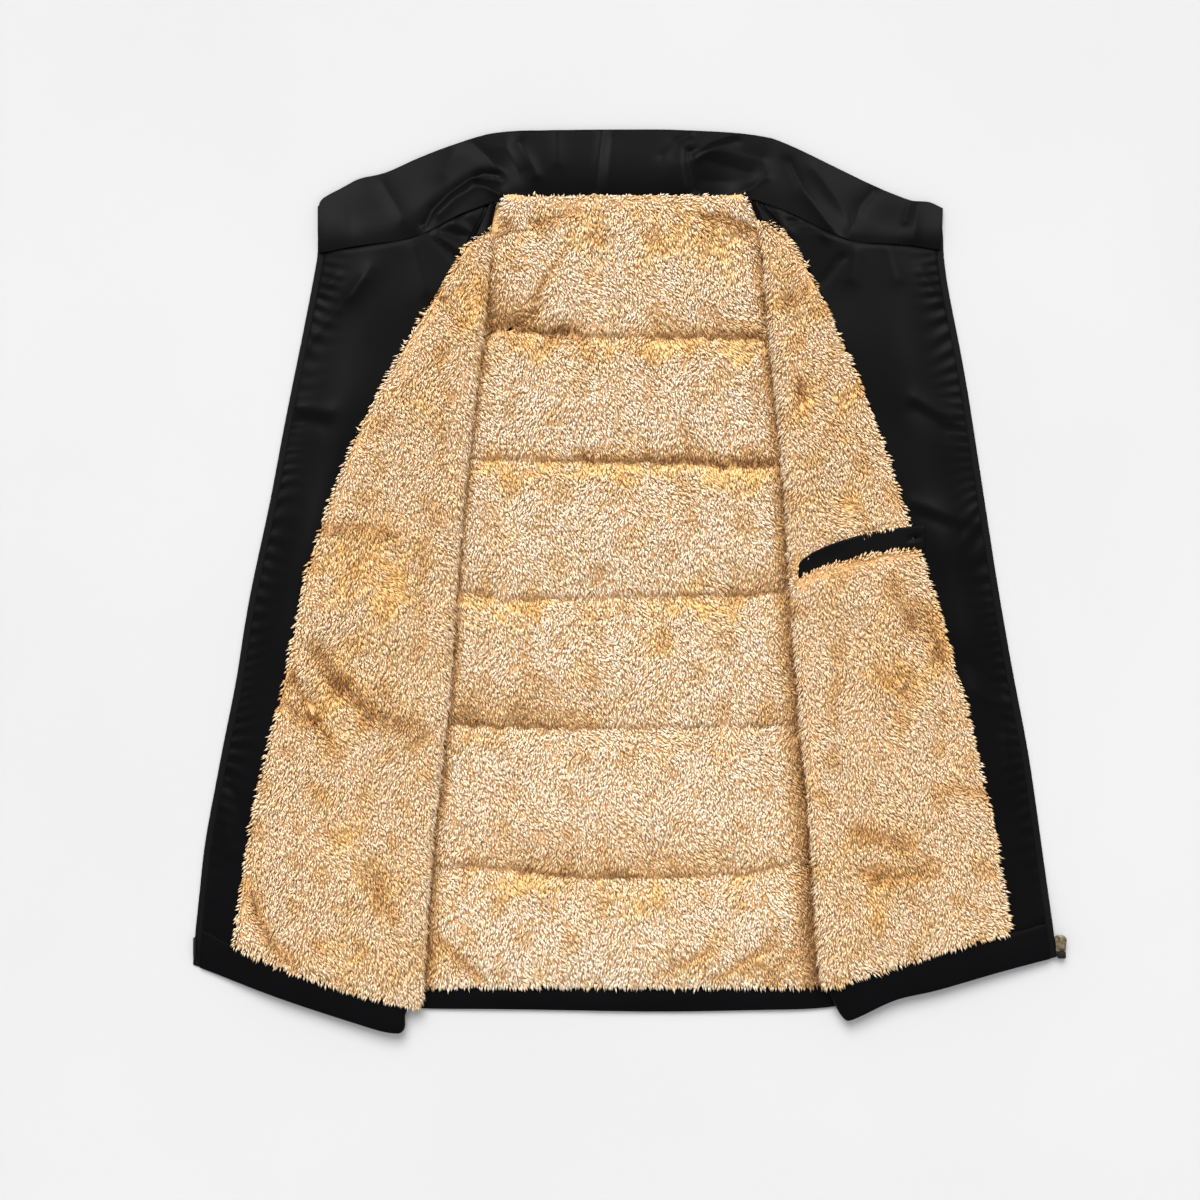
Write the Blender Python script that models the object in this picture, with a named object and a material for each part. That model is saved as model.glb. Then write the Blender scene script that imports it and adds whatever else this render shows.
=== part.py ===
"""A puffer vest with a long-pile lining, lying open on its back with both fronts turned out flat.

Frame: metres, origin on the surface under the middle of the vest. +X is the wearer's left, +Y runs from
the hem to the collar, +Z is up. The outer cloth of the back lies on the surface, z = 0. Each front goes up
from its side seam, folds back over itself along a slanting line and ends at its zip edge on the surface.

Every layer of a front is measured from one middle surface, middle(x, y), where the two legs of the folded
front face each other. All sizes are in millimetres until a mesh is made.
"""

import math
from collections import namedtuple

import bmesh
import bpy
from mathutils import Vector
from mathutils.bvhtree import BVHTree

MM = 0.001

# ---- driving dimensions, in millimetres ----
SEAM_GAP = 0.6  # between two pieces sewn edge to edge
LAYER_GAP = 0.4  # between two layers that share their section points
LOOSE_GAP = 0.9  # between two layers that only lie on each other
SHELL = 1.4  # outer cloth with its interlining
LEG_GAP = 0.6  # from the middle surface to the shell, on each leg of a front
THIN_LINING = 1.0  # lining where it is sewn to the shell
LOW_PILE = 3.5  # what the pile adds where other layers press on it
FREE_PILE = 7.0  # lining on the turned-out leg, in its middle
SEAM_PILE = 3.0  # and beside its seams
NECK_PILE = 0.4  # share of it that is left at the neck
LEAST_PILE = 2.0  # in a fold or under the welt
FACING_THIN = 1.6  # facing at its seams
FACING_PUFF = 1.6  # what its middle adds
BAND_EDGE = 1.8  # hem band at its seams
BAND_CROWN = 2.6  # and along its middle
STACK_AT_SIDE = 7.2  # middle surface over the side seam, armhole and shoulder
STACK_RISE = 7.4  # what it rises inside those seams
SIDE_LEDGE = 10.0  # the stack stays full this far outside the side seam
EDGE_FLAT = 6.0  # strip of a front that lies flat along its zip edge
HEM_RAMP = 90.0  # the stack reaches its full height this far above the hem
SHOULDER_RAMP = 130.0  # and this far below the shoulder seam
HEM_SHARE = 0.25  # share of the rise that the stack has at the hem
TAPE_WIDTH = 6.0  # zip tape outside the facing
TAPE_THICK = 1.6
HEM_Y = -350.0  # the back's hem line
HEM_RISE = {-1: 10.0, 1: 26.0}  # what it climbs to the right and the left side seam
BACK_BAND_TOP = -330.5  # seam of the back's hem band with the lining
BACK_SEAM_HEIGHT = 5.0  # top of the back's pile along its hem and neck seams
CHANNEL_HEIGHT = 8.0  # and in a quilting channel
PUFF_RISE = 6.5  # what a puff rises above its channels
PUFF_SKEW = 0.85  # under 1, a puff is fullest below its middle
PUFF_ROUND = 0.75  # under 1, a puff is flatter on top and steeper at its channels
BACK_BAND_HEIGHTS = (3.6, 4.6, 3.6)  # top of the back's hem band, from the hem up
BACK_BAND_PRESSED = 2.9  # the same under the fronts
FOLD_CLEAR = 55.0  # the puffs reach full height this far from a fold
COLLAR_RISE = 35.0  # the collar seam climbs to the fronts over this width of the back neck
COLLAR_THIN = 1.8  # inner layer of the collar at its edges
COLLAR_PUFF = 2.6  # what its middle adds
COLLAR_LEAST = 1.2

# ---- tables: a row for each section, from the hem to the neck ----
FrontSection = namedtuple("FrontSection", "fold_x fold_y lining_x edge_x edge_y side_x side_y bow")
RIGHT_FRONT = [
    FrontSection(-188, -370, -325, -357.5, -314, -271, -340, -2),  # hem line
    FrontSection(-171, -347, -323, -355, -282, -271, -320, -8),  # top of the hem band
    FrontSection(-165, -265, -313, -346, -214, -270, -250, -3),
    FrontSection(-158, -183, -299, -335, -145, -269, -180, 0),
    FrontSection(-148, -101, -281, -323, -76, -267, -110, 0),
    FrontSection(-143, -19, -267, -310, -7, -262, -38, 0),
    FrontSection(-136, 63, -245, -295, 62, -246, 35, 0),
    FrontSection(-127, 145, -213, -282, 131, -222, 108, 0),
    FrontSection(-117, 227, -168, -268, 200, -212, 181, 0),
    FrontSection(-114, 277, -133, -260, 241, -211, 227, 0),
    FrontSection(-108, 308.4, -113, -255, 268.5, -212, 252, 0),  # neck seam
]
LEFT_FRONT = [
    FrontSection(175, -359, 312, 350, -307, 266, -324, 3),
    FrontSection(158, -331, 310, 346, -278, 266, -304, 2),
    FrontSection(151, -251, 300, 337, -209, 265, -240, 1),
    FrontSection(145, -170, 285, 327, -140, 264, -173, 0),
    FrontSection(138, -90, 267, 314, -72, 262, -106, 0),
    FrontSection(132, -9, 246, 302, -3, 257, -38, 0),
    FrontSection(127, 71, 221, 291, 66, 241, 35, 0),
    FrontSection(120, 151, 195, 279, 134, 217, 108, 0),
    FrontSection(112, 232, 161, 267, 203, 207, 181, 0),
    FrontSection(109, 280, 135, 260, 244, 206, 227, 0),
    FrontSection(98, 310.4, 104, 257, 271.5, 207, 252, 0),
]
BAND_TOP = 1  # row of the hem band's seam
NECK = len(LEFT_FRONT) - 1  # row of the neck seam
NECK_ROWS = 3.0  # the rows bend to the collar's seam over this many sections

CollarSection = namedtuple("CollarSection", "seam_x seam_y top_x top_y")
COLLAR = [  # from the wearer's right zip edge, round the back of the neck, to the left one
    CollarSection(-256, 269, -254, 308),
    CollarSection(-212, 274, -225, 327),
    CollarSection(-173, 280, -200, 334),
    CollarSection(-140, 298, -165, 350),
    CollarSection(-108, 309, -112, 367),
    CollarSection(-57, 313.5, -57, 369.5),
    CollarSection(-6, 314, -6, 370),
    CollarSection(46, 313.5, 46, 369.5),
    CollarSection(98, 311, 112, 364),
    CollarSection(132, 300, 157, 345),
    CollarSection(177, 277, 198, 325),
    CollarSection(214, 275, 230, 312),
    CollarSection(257, 272, 256.5, 304),
]
BackSection = namedtuple("BackSection", "right_x left_x")
BACK = [  # at equal steps up the panel
    BackSection(-271, 266),  # hem
    BackSection(-270, 265),
    BackSection(-268, 263),
    BackSection(-263, 258),  # underarm
    BackSection(-246, 241),
    BackSection(-222, 217),
    BackSection(-212, 207),
    BackSection(-212, 207),  # shoulder point
]
CHANNELS = [-331, -235, -114, -10, 100, 205, 314]  # quilting seams across the back, as y

Fold = namedtuple("Fold", "x0 y0 x1 y1 width height")
RIGHT_LINING_FOLDS = [  # under 0 is a trough in the pile, over 0 a ridge
    Fold(-272, -60, -250, -130, 13, -2.5),
    Fold(-250, -70, -185, -115, 16, -2.5),
    Fold(-262, -62, -215, -118, 13, 1.5),
    Fold(-312, -235, -284, -300, 12, -2.0),
]
LEFT_LINING_FOLDS = [
    Fold(190, -235, 235, -262, 22, -1.5),
    Fold(250, -140, 276, -95, 16, -1.2),
]
COLLAR_FOLDS = [
    Fold(-173, 282, -122, 333, 8, -1.5),
    Fold(-163, 286, -108, 316, 8, 1.2),
    Fold(178, 280, 128, 312, 8, -1.3),
    Fold(178, 282, 136, 338, 9, 1.3),
    Fold(180, 280, 170, 335, 8, -1.2),
]

WeltSection = namedtuple("WeltSection", "x low_y high_y")
WELT = [  # the inside pocket's welt on the wearer's left front
    WeltSection(137, 2, 15),
    WeltSection(153, 9.5, 26),
    WeltSection(182, 18, 36),
    WeltSection(206, 23, 42),
    WeltSection(227, 26.5, 45.5),
]
WELT_THICK = 1.5
WELT_SINK = 3.0  # the pile gives way by this much under the welt
WELT_MARGIN = 10.0  # and this far round it
WELT_EASE = 8.0  # then comes back to its height over this width

# ---- section points shared by the layers of a front ----
UNDER_SHARES = [1.0, 0.66, 0.33]  # side seam to fold, on the leg that lies below
BEND_ANGLES = [-90, -45, 0, 45, 90]  # round the fold
LINING_SHARES = [0.1, 0.22, 0.34, 0.46, 0.58, 0.7, 0.82, 0.92, 1.0]  # fold to the facing seam
FACING_SHARES = [0.0, 0.18, 0.36, 0.54, 0.7, 0.86, 1.0]  # facing seam to the zip tape
ROWS_PER_SECTION = [2, 3, 3, 3, 3, 3, 3, 3, 2, 2]  # mesh rows between two sections of a front

# ---- zip end, in millimetres. The slider's back faces up and its pull tab lies under it ----
SLIDER_AT = (352.7, -296.0)  # middle of the slider
SLIDER_LENGTH = 13.0
SliderSection = namedtuple("SliderSection", "y half_width")
SLIDER_OUTLINE = [
    SliderSection(-6.5, 3.6),
    SliderSection(-5.9, 4.1),
    SliderSection(-1.0, 4.2),
    SliderSection(2.5, 4.8),
    SliderSection(4.4, 4.6),
    SliderSection(5.8, 3.5),
    SliderSection(6.5, 1.8),
]
PLATE_THICK = 1.2
PLATE_EDGE = 0.35  # rounding of a plate's edges
SLIDER_LOW = 2.75  # underside of its lower plate
SLIDER_MOUTH = 3.0  # between its two plates
ZIP_LIFT = 4.7  # the slider holds the tape this far off the surface
ZIP_LIFT_REACH = 60.0
PIN_INSET = 2.2  # from the slider's upper end to its hinge pin
PIN_Z = 1.25  # height of the hinge pin
PIN_RADIUS = 0.45
LUG_WIDTH = 1.1
LUG_LENGTH = 2.2
LUG_LOW = 0.15
SIDE_PLAY = 0.3  # between the pull tab's eye and each lug
EYE_HOLE = 0.78
EYE_RADIUS = 1.15
EYE_LENGTH = 2.6  # along the pin
TAB_LENGTH = 15.0
TAB_NECK = 3.4  # from the pin to the wide part of the tab
TAB_WIDTH = 4.0
TAB_THICK = 0.9
BOX_SIZE = (6.6, 5.6, 4.2)
BOX_EDGE = 0.8
INSERT_PIN_SIZE = (2.2, 18.0, 2.2)

COLOURS = {
    "shell": ((0.012, 0.012, 0.014), 0.45, 0.0),
    "facing": ((0.014, 0.014, 0.017), 0.42, 0.0),
    "pile": ((0.78, 0.60, 0.38), 0.9, 0.0),
    "tape": ((0.01, 0.01, 0.011), 0.6, 0.0),
    "metal": ((0.30, 0.27, 0.22), 0.35, 1.0),
    "plastic": ((0.015, 0.015, 0.015), 0.4, 0.0),
}


# ---- small helpers ----
def lerp(a, b, share):
    return a + (b - a) * share


def smooth(share):
    """0 below 0, 1 above 1, with level ends."""
    share = min(max(share, 0.0), 1.0)
    return share * share * (3 - 2 * share)


def curve_at(rows, column, t):
    """A column of a table at row number t, which may be between rows, on a Catmull-Rom curve."""
    last = len(rows) - 1
    i = min(max(int(t), 0), last - 1)
    f = t - i
    b, c = getattr(rows[i], column), getattr(rows[i + 1], column)
    a = getattr(rows[i - 1], column) if i > 0 else 2 * b - c
    d = getattr(rows[i + 2], column) if i + 2 <= last else 2 * c - b
    return 0.5 * (2 * b + (c - a) * f + (2 * a - 5 * b + 4 * c - d) * f**2 + (3 * b - a - 3 * c + d) * f**3)


def point_at(rows, x_column, y_column, t):
    return Vector((curve_at(rows, x_column, t), curve_at(rows, y_column, t)))


def looked_up(rows, x_column, y_column, steps=120):
    """A function that gives the curve's x for a y, from the curve sampled finely."""
    last = len(rows) - 1
    line = [point_at(rows, x_column, y_column, last * k / steps) for k in range(steps + 1)]
    line.sort(key=lambda p: p.y)

    def x_at(y):
        if y <= line[0].y:
            return line[0].x
        for p, q in zip(line, line[1:]):
            if y <= q.y:
                return lerp(p.x, q.x, (y - p.y) / max(q.y - p.y, 1e-6))
        return line[-1].x

    return x_at


def relief(folds, x, y):
    """What soft troughs and ridges add at a point: each fades across its line and at its ends."""
    total = 0.0
    for fold in folds:
        start, end, p = Vector((fold.x0, fold.y0)), Vector((fold.x1, fold.y1)), Vector((x, y))
        along = (p - start).dot(end - start) / (end - start).length_squared
        nearest = start.lerp(end, min(max(along, 0.0), 1.0))
        total += fold.height * math.exp(-(((p - nearest).length / fold.width) ** 2))
    return total


# ---- the middle surface of the fronts ----
FOLD_X = {-1: looked_up(RIGHT_FRONT, "fold_x", "fold_y"), 1: looked_up(LEFT_FRONT, "fold_x", "fold_y")}
SIDE_X = {-1: looked_up(RIGHT_FRONT, "side_x", "side_y"), 1: looked_up(LEFT_FRONT, "side_x", "side_y")}
EDGE_X = {-1: looked_up(RIGHT_FRONT, "edge_x", "edge_y"), 1: looked_up(LEFT_FRONT, "edge_x", "edge_y")}
NECK_Y = looked_up([CollarSection(s.seam_y, s.seam_x, 0, 0) for s in COLLAR], "seam_x", "seam_y")
FRONTS = {-1: RIGHT_FRONT, 1: LEFT_FRONT}


def shoulder_y(side, x):
    """Height of the shoulder seam over x, on the straight line from the neck to the armhole."""
    neck = FRONTS[side][NECK]
    share = (x - neck.fold_x) / (neck.side_x - neck.fold_x)
    return lerp(neck.fold_y, neck.side_y, share)


def dome(x, y):
    """Share of its full rise that the stack of layers has at a point: 0 at the seams round it."""
    side = 1 if x > 0 else -1
    across = (x - FOLD_X[side](y)) / (SIDE_X[side](y) - FOLD_X[side](y))
    across = min(max(across, 0.0), 1.0)
    hem = lerp(HEM_SHARE, 1.0, smooth((y - HEM_Y) / HEM_RAMP))
    shoulder = smooth((shoulder_y(side, x) - y) / SHOULDER_RAMP)
    return math.cos(across * math.pi / 2) ** 2 * hem * shoulder


def zip_lift(x, y):
    """The tape and the cloth near the slider stand off the surface by this much."""
    away = math.hypot(x - SLIDER_AT[0], y - SLIDER_AT[1]) / ZIP_LIFT_REACH
    return ZIP_LIFT * (1 - smooth(away - 0.25))


def middle(x, y):
    """Height of the middle surface: a low dome over the stack, falling to the surface at the zip edge."""
    side = 1 if x > 0 else -1
    ledge = abs(SIDE_X[side](y)) + SIDE_LEDGE
    foot = abs(EDGE_X[side](y)) - EDGE_FLAT
    fall = smooth((abs(x) - ledge) / max(foot - ledge, 1.0))
    stack = STACK_AT_SIDE + STACK_RISE * dome(x, y)
    return lerp(stack, -LEG_GAP, fall) + zip_lift(x, y)


# ---- sections of a front ----
def bend_radius(side, t):
    """Outer radius of the lining round the fold, at row t."""
    fold = point_at(FRONTS[side], "fold_x", "fold_y", t)
    return LEG_GAP + SHELL + LAYER_GAP + 0.5 * (pressed_pile(fold.x, fold.y) + free_pile(side, fold, 0.0, t))


def bend_centre(side, t):
    fold = point_at(FRONTS[side], "fold_x", "fold_y", t)
    return fold + Vector((side * bend_radius(side, t), 0))


def lining_share(side, t):
    """Share of the way from the fold to the zip edge at which the lining meets the facing."""
    rows = FRONTS[side]
    start, end = bend_centre(side, t).x, curve_at(rows, "edge_x", t)
    return max((curve_at(rows, "lining_x", t) - start) / (end - start), 0.02)


def over_point(side, t, share):
    """A point of the turned-out leg, on the row from the fold to the zip edge. Bow bends the row's middle
    up, and near the neck the rows take the shape of the collar's seam."""
    end = point_at(FRONTS[side], "edge_x", "edge_y", t)
    point = bend_centre(side, t).lerp(end, share)
    point.y += curve_at(FRONTS[side], "bow", t) * math.sin(math.pi * min(max(share, 0.0), 1.0))
    to_neck = smooth((t - NECK + NECK_ROWS) / NECK_ROWS)
    if to_neck > 0:
        straight = bend_centre(side, NECK).lerp(point_at(FRONTS[side], "edge_x", "edge_y", NECK), share)
        point.y += to_neck * (NECK_Y(straight.x) - SEAM_GAP - straight.y)
    return point


def tape_share(side, t):
    start = bend_centre(side, t)
    end = point_at(FRONTS[side], "edge_x", "edge_y", t)
    return 1 - TAPE_WIDTH / (end - start).length


def under_point(side, t, share):
    side_seam = point_at(FRONTS[side], "side_x", "side_y", t)
    return bend_centre(side, t).lerp(side_seam, share)


def pressed_pile(x, y):
    return THIN_LINING + LOW_PILE * dome(x, y)


def welt_sink(x, y):
    """How far the pile gives way round the pocket's welt."""
    last = len(WELT) - 1
    share = (x - WELT[0].x) / (WELT[last].x - WELT[0].x) * last
    inside = min(max(share, 0.0), float(last))
    low, high = curve_at(WELT, "low_y", inside), curve_at(WELT, "high_y", inside)
    past_end = abs(share - inside) * (WELT[last].x - WELT[0].x) / last
    away = max(low - y, y - high, 0.0) + past_end
    return WELT_SINK * (1 - smooth((away - WELT_MARGIN) / WELT_EASE))


def free_pile(side, point, share, t):
    """Thickness of the lining on the turned-out leg: full in its middle, thin at its seams."""
    off_seams = min(smooth((1 - share) / 0.3), smooth((t - BAND_TOP) / 0.8))
    off_neck = smooth((NECK - t) / 2)
    pile = lerp(SEAM_PILE, FREE_PILE, off_seams) * lerp(NECK_PILE, 1.0, off_neck)
    pile += relief(LEFT_LINING_FOLDS if side > 0 else RIGHT_LINING_FOLDS, *point)
    pile -= welt_sink(*point) if side > 0 else 0.0
    return max(pile, LEAST_PILE)


def facing_thick(share):
    """The facing is fullest between its seams, and fuller at the lining's than at the tape's."""
    return FACING_THIN + FACING_PUFF * math.sin(math.pi * min(share + 0.12, 1.0)) ** 0.6


# ---- a piece of cloth as a closed wall ----
def material(name):
    colour, roughness, metallic = COLOURS[name]
    made = bpy.data.materials.get(name) or bpy.data.materials.new(name)
    made.use_nodes = True
    shader = made.node_tree.nodes["Principled BSDF"]
    shader.inputs["Base Color"].default_value = (*colour, 1.0)
    shader.inputs["Roughness"].default_value = roughness
    shader.inputs["Metallic"].default_value = metallic
    return made


def add_object(name, mesh, finish):
    mesh.materials.append(material(finish))
    obj = bpy.data.objects.new(name, mesh)
    VEST.objects.link(obj)
    return obj


def cloth(name, columns, rows, place, finish):
    """A wall of columns x rows faces: a flat grid is extruded once, and place(column, row, outer) puts
    each of its points, in millimetres, on the wall's inner or outer side."""
    wall = bmesh.new()
    bmesh.ops.create_grid(wall, x_segments=columns, y_segments=rows, size=1.0)
    raised = bmesh.ops.extrude_face_region(wall, geom=wall.faces[:])
    outer_side = [v for v in raised["geom"] if isinstance(v, bmesh.types.BMVert)]
    bmesh.ops.translate(wall, verts=outer_side, vec=(0, 0, 1))
    for vertex in wall.verts:
        column = round((vertex.co.x + 1) / 2 * columns)
        row = round((vertex.co.y + 1) / 2 * rows)
        vertex.co = Vector(place(column, row, vertex.co.z > 0.5)) * MM
    bmesh.ops.recalc_face_normals(wall, faces=wall.faces[:])
    if wall.calc_volume(signed=True) < 0:
        bmesh.ops.reverse_faces(wall, faces=wall.faces[:])
    bmesh.ops.triangulate(wall, faces=wall.faces[:], quad_method="FIXED")
    mesh = bpy.data.meshes.new(name)
    wall.to_mesh(mesh)
    wall.free()
    mesh.shade_smooth()
    return add_object(name, mesh, finish)


def section_rows(first, last, trim=0.0):
    """Row numbers for a mesh between two sections, the first of them moved in by trim."""
    numbers = [
        section + k / ROWS_PER_SECTION[section]
        for section in range(first, last)
        for k in range(ROWS_PER_SECTION[section])
    ]
    numbers.append(float(last))
    numbers[0] += trim
    return numbers


def folded_place(side, t, station, inner, outer, is_outer):
    """A point of a layer of a front. A station is ("under", share), ("bend", angle) or ("over", share);
    inner and outer give the distances from the middle surface there."""
    kind, value = station
    if kind == "bend":
        centre = bend_centre(side, t)
        away = (outer if is_outer else inner)(station, centre, t)
        turn = math.radians(value)
        x = centre.x - side * away * math.cos(turn)
        return x, centre.y, middle(*centre) + away * math.sin(turn)
    point = (under_point if kind == "under" else over_point)(side, t, value)
    away = (outer if is_outer else inner)(station, point, t)
    return point.x, point.y, middle(*point) + (-away if kind == "under" else away)


def front_stations(side, t, with_facing):
    """The section points of a row, from the side seam round the fold to the lining's seam or the zip tape."""
    stations = [("under", share) for share in UNDER_SHARES] + [("bend", angle) for angle in BEND_ANGLES]
    seam, tape = lining_share(side, t), tape_share(side, t)
    stations += [("over", share * seam) for share in LINING_SHARES]
    if with_facing:
        stations += [("over", lerp(seam, tape, share)) for share in FACING_SHARES[1:]]
    return stations


def lining_outer(side):
    base = LEG_GAP + SHELL + LAYER_GAP

    def away(station, point, t):
        kind, value = station
        if kind == "under":
            return base + pressed_pile(point.x, point.y)
        if kind == "bend":
            above = (value + 90) / 180
            return base + lerp(pressed_pile(point.x, point.y), free_pile(side, point, 0.0, t), above)
        return base + free_pile(side, point, value / lining_share(side, t), t)

    return away


# ---- the pieces of a front ----
def make_front_shell(side, name):
    rows = section_rows(0, NECK)
    table = [front_stations(side, t, True) for t in rows]

    def place(column, row, is_outer):
        inner, outer = lambda *_: LEG_GAP, lambda *_: LEG_GAP + SHELL
        return folded_place(side, rows[row], table[row][column], inner, outer, is_outer)

    return cloth(name, len(table[0]) - 1, len(rows) - 1, place, "shell")


def make_front_lining(side, name):
    rows = section_rows(BAND_TOP, NECK, SEAM_GAP / 80)
    table = [front_stations(side, t, False) for t in rows]
    outer = lining_outer(side)

    def place(column, row, is_outer):
        inner = lambda *_: LEG_GAP + SHELL + LAYER_GAP
        return folded_place(side, rows[row], table[row][column], inner, outer, is_outer)

    return cloth(name, len(table[0]) - 1, len(rows) - 1, place, "pile")


def make_facing(side, name):
    rows = section_rows(BAND_TOP, NECK, SEAM_GAP / 80)
    base = LEG_GAP + SHELL + LAYER_GAP

    def place(column, row, is_outer):
        t, share = rows[row], FACING_SHARES[column]
        seam, tape = lining_share(side, t), tape_share(side, t)
        length = (bend_centre(side, t) - point_at(FRONTS[side], "edge_x", "edge_y", t)).length
        slant = 1 + 4 * smooth(t - NECK + 2)  # the seam crosses the rows at a slant near the neck
        at = lerp(seam, tape, share) + (SEAM_GAP * slant / length if column == 0 else 0.0)
        point = over_point(side, t, at)
        away = base + (facing_thick(share) if is_outer else 0.0)
        return point.x, point.y, middle(*point) + away

    return cloth(name, len(FACING_SHARES) - 1, len(rows) - 1, place, "facing")


def make_front_band(side, name):
    """The hem's turned-up band, folded with the front from the side seam to the zip tape."""
    rows = [0.0, 0.5, float(BAND_TOP)]
    table = [front_stations(side, t, True) for t in rows]
    base = LEG_GAP + SHELL + LAYER_GAP

    def place(column, row, is_outer):
        def outer(station, point, t):
            if station[0] == "under":
                return base + THIN_LINING
            return base + (BAND_CROWN if row == 1 else BAND_EDGE)

        return folded_place(side, rows[row], table[row][column], lambda *_: base, outer, is_outer)

    return cloth(name, len(table[0]) - 1, len(rows) - 1, place, "facing")


def make_zip_tape(side, name):
    """The tape outside the facing, from the hem to the collar's top corner."""
    collar_rows = 4
    rows = section_rows(0, NECK) + [NECK + (k + 1) / collar_rows for k in range(collar_rows)]
    columns = collar_columns()
    collar_end = len(columns) - 1 if side > 0 else 0

    def place(column, row, is_outer):
        t, at_edge = rows[row], column == 1
        if t <= NECK:
            length = (bend_centre(side, t) - point_at(FRONTS[side], "edge_x", "edge_y", t)).length
            point = over_point(side, t, 1.0 if at_edge else tape_share(side, t) + SEAM_GAP / length)
            base = middle(*point) + LEG_GAP
        else:
            point = collar_point(columns, collar_end, t - NECK)
            point.x += side * (TAPE_WIDTH if at_edge else SEAM_GAP)
            base = 0.0
        return point.x, point.y, base + (TAPE_THICK if is_outer else 0.0)

    return cloth(name, 1, len(rows) - 1, place, "tape")


def make_welt(lining):
    """The pocket's welt lies on the lining: each point is taken from the pile below it, moved out."""
    columns, rows = 10, 2
    below = BVHTree.FromPolygons(
        [v.co[:] for v in lining.data.vertices], [p.vertices[:] for p in lining.data.polygons]
    )

    def place(column, row, is_outer):
        t = column / columns * (len(WELT) - 1)
        x = curve_at(WELT, "x", t)
        y = lerp(curve_at(WELT, "low_y", t), curve_at(WELT, "high_y", t), row / rows)
        hit = below.ray_cast(Vector((x * MM, y * MM, 1.0)), Vector((0, 0, -1)))[0]
        return x, y, hit.z / MM + LOOSE_GAP + (WELT_THICK if is_outer else 0.0)

    return cloth("pocket_welt", columns, rows, place, "facing")


# ---- the back ----
BACK_COLUMNS = 16
SHOULDER_COLUMNS = 4  # of them, over each shoulder
ROWS_PER_PUFF = 6


def across_at(column):
    """Share of the panel's width at a mesh column. One column ends at each neck point."""
    top, left = BACK[-1], BACK_COLUMNS - SHOULDER_COLUMNS
    right_neck, left_neck = (
        (front[NECK].fold_x - top.right_x) / (top.left_x - top.right_x) for front in (RIGHT_FRONT, LEFT_FRONT)
    )
    if column <= SHOULDER_COLUMNS:
        return lerp(0.0, right_neck, column / SHOULDER_COLUMNS)
    if column >= left:
        return lerp(left_neck, 1.0, (column - left) / SHOULDER_COLUMNS)
    return lerp(right_neck, left_neck, (column - SHOULDER_COLUMNS) / (left - SHOULDER_COLUMNS))


def back_point(across, up, top_y):
    """A point of the back panel: across from the wearer's right side seam, up from the hem."""
    t = up * (len(BACK) - 1)
    x = lerp(curve_at(BACK, "right_x", t), curve_at(BACK, "left_x", t), across)
    return Vector((x, lerp(hem_line(x), top_y, up)))


def hem_line(x):
    """Height of the back's hem: level where it shows, climbing to the side seams under the fronts."""
    side = 1 if x > 0 else -1
    hem = FRONTS[side][BAND_TOP]
    outside = (abs(x) - abs(hem.fold_x)) / (abs(hem.side_x) - abs(hem.fold_x))
    return HEM_Y + HEM_RISE[side] * smooth(outside)


def back_top(across):
    """Height of the shoulder seams and the neck seam along the panel's top."""
    x = lerp(BACK[-1].right_x, BACK[-1].left_x, across)
    side = 1 if x > 0 else -1
    on_shoulder = abs(x) > abs(FRONTS[side][NECK].fold_x) + SEAM_GAP
    return shoulder_y(side, x) if on_shoulder else NECK_Y(x) - SEAM_GAP


def puff(y):
    """0 in a quilting channel, 1 on the crown of the padding between two of them."""
    for low, high in zip(CHANNELS, CHANNELS[1:]):
        if low <= y <= high:
            share = ((y - low) / (high - low)) ** PUFF_SKEW
            return math.sin(math.pi * share) ** PUFF_ROUND
    return 0.0


def pressed_height(x, y):
    """Top of the back's lining where a front lies on it."""
    return middle(x, y) - zip_lift(x, y) - LEG_GAP - SHELL - LAYER_GAP - pressed_pile(x, y) - LOOSE_GAP


def back_height(x, y):
    """Top of the back's lining: puffs across the open middle, pressed flat under the fronts."""
    side = 1 if x > 0 else -1
    inside = smooth((abs(FOLD_X[side](y)) - abs(x)) / FOLD_CLEAR)
    seams = min(smooth((y - BACK_BAND_TOP) / 18 + 0.35), smooth((NECK_Y(x) - y) / 16 + 0.3))
    free = lerp(BACK_SEAM_HEIGHT, CHANNEL_HEIGHT + PUFF_RISE * puff(y), seams)
    return lerp(pressed_height(x, y), free, inside)


def puff_rows():
    """Heights of the lining's mesh rows, as y at the panel's middle: the same number for each puff."""
    rows = [
        lerp(low, high, k / ROWS_PER_PUFF)
        for low, high in zip(CHANNELS, CHANNELS[1:])
        for k in range(ROWS_PER_PUFF)
    ]
    return rows + [CHANNELS[-1]]


def make_back_shell():
    columns, rows = BACK_COLUMNS, 14

    def place(column, row, is_outer):
        across, up = across_at(column), row / rows
        point = back_point(across, up, back_top(across))
        return point.x, point.y, SHELL if is_outer else 0.0

    return cloth("back_shell", columns, rows, place, "shell")


def make_back_lining():
    heights = puff_rows()
    top = heights[-1]

    def place(column, row, is_outer):
        across = across_at(column)
        up = (heights[row] - HEM_Y) / (top - HEM_Y)
        point = back_point(across, up, back_top(across))
        point.y -= SEAM_GAP if row == len(heights) - 1 else 0.0
        height = back_height(*point) if is_outer else SHELL + LAYER_GAP
        return point.x, point.y, height

    return cloth("back_lining", BACK_COLUMNS, len(heights) - 1, place, "pile")


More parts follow.
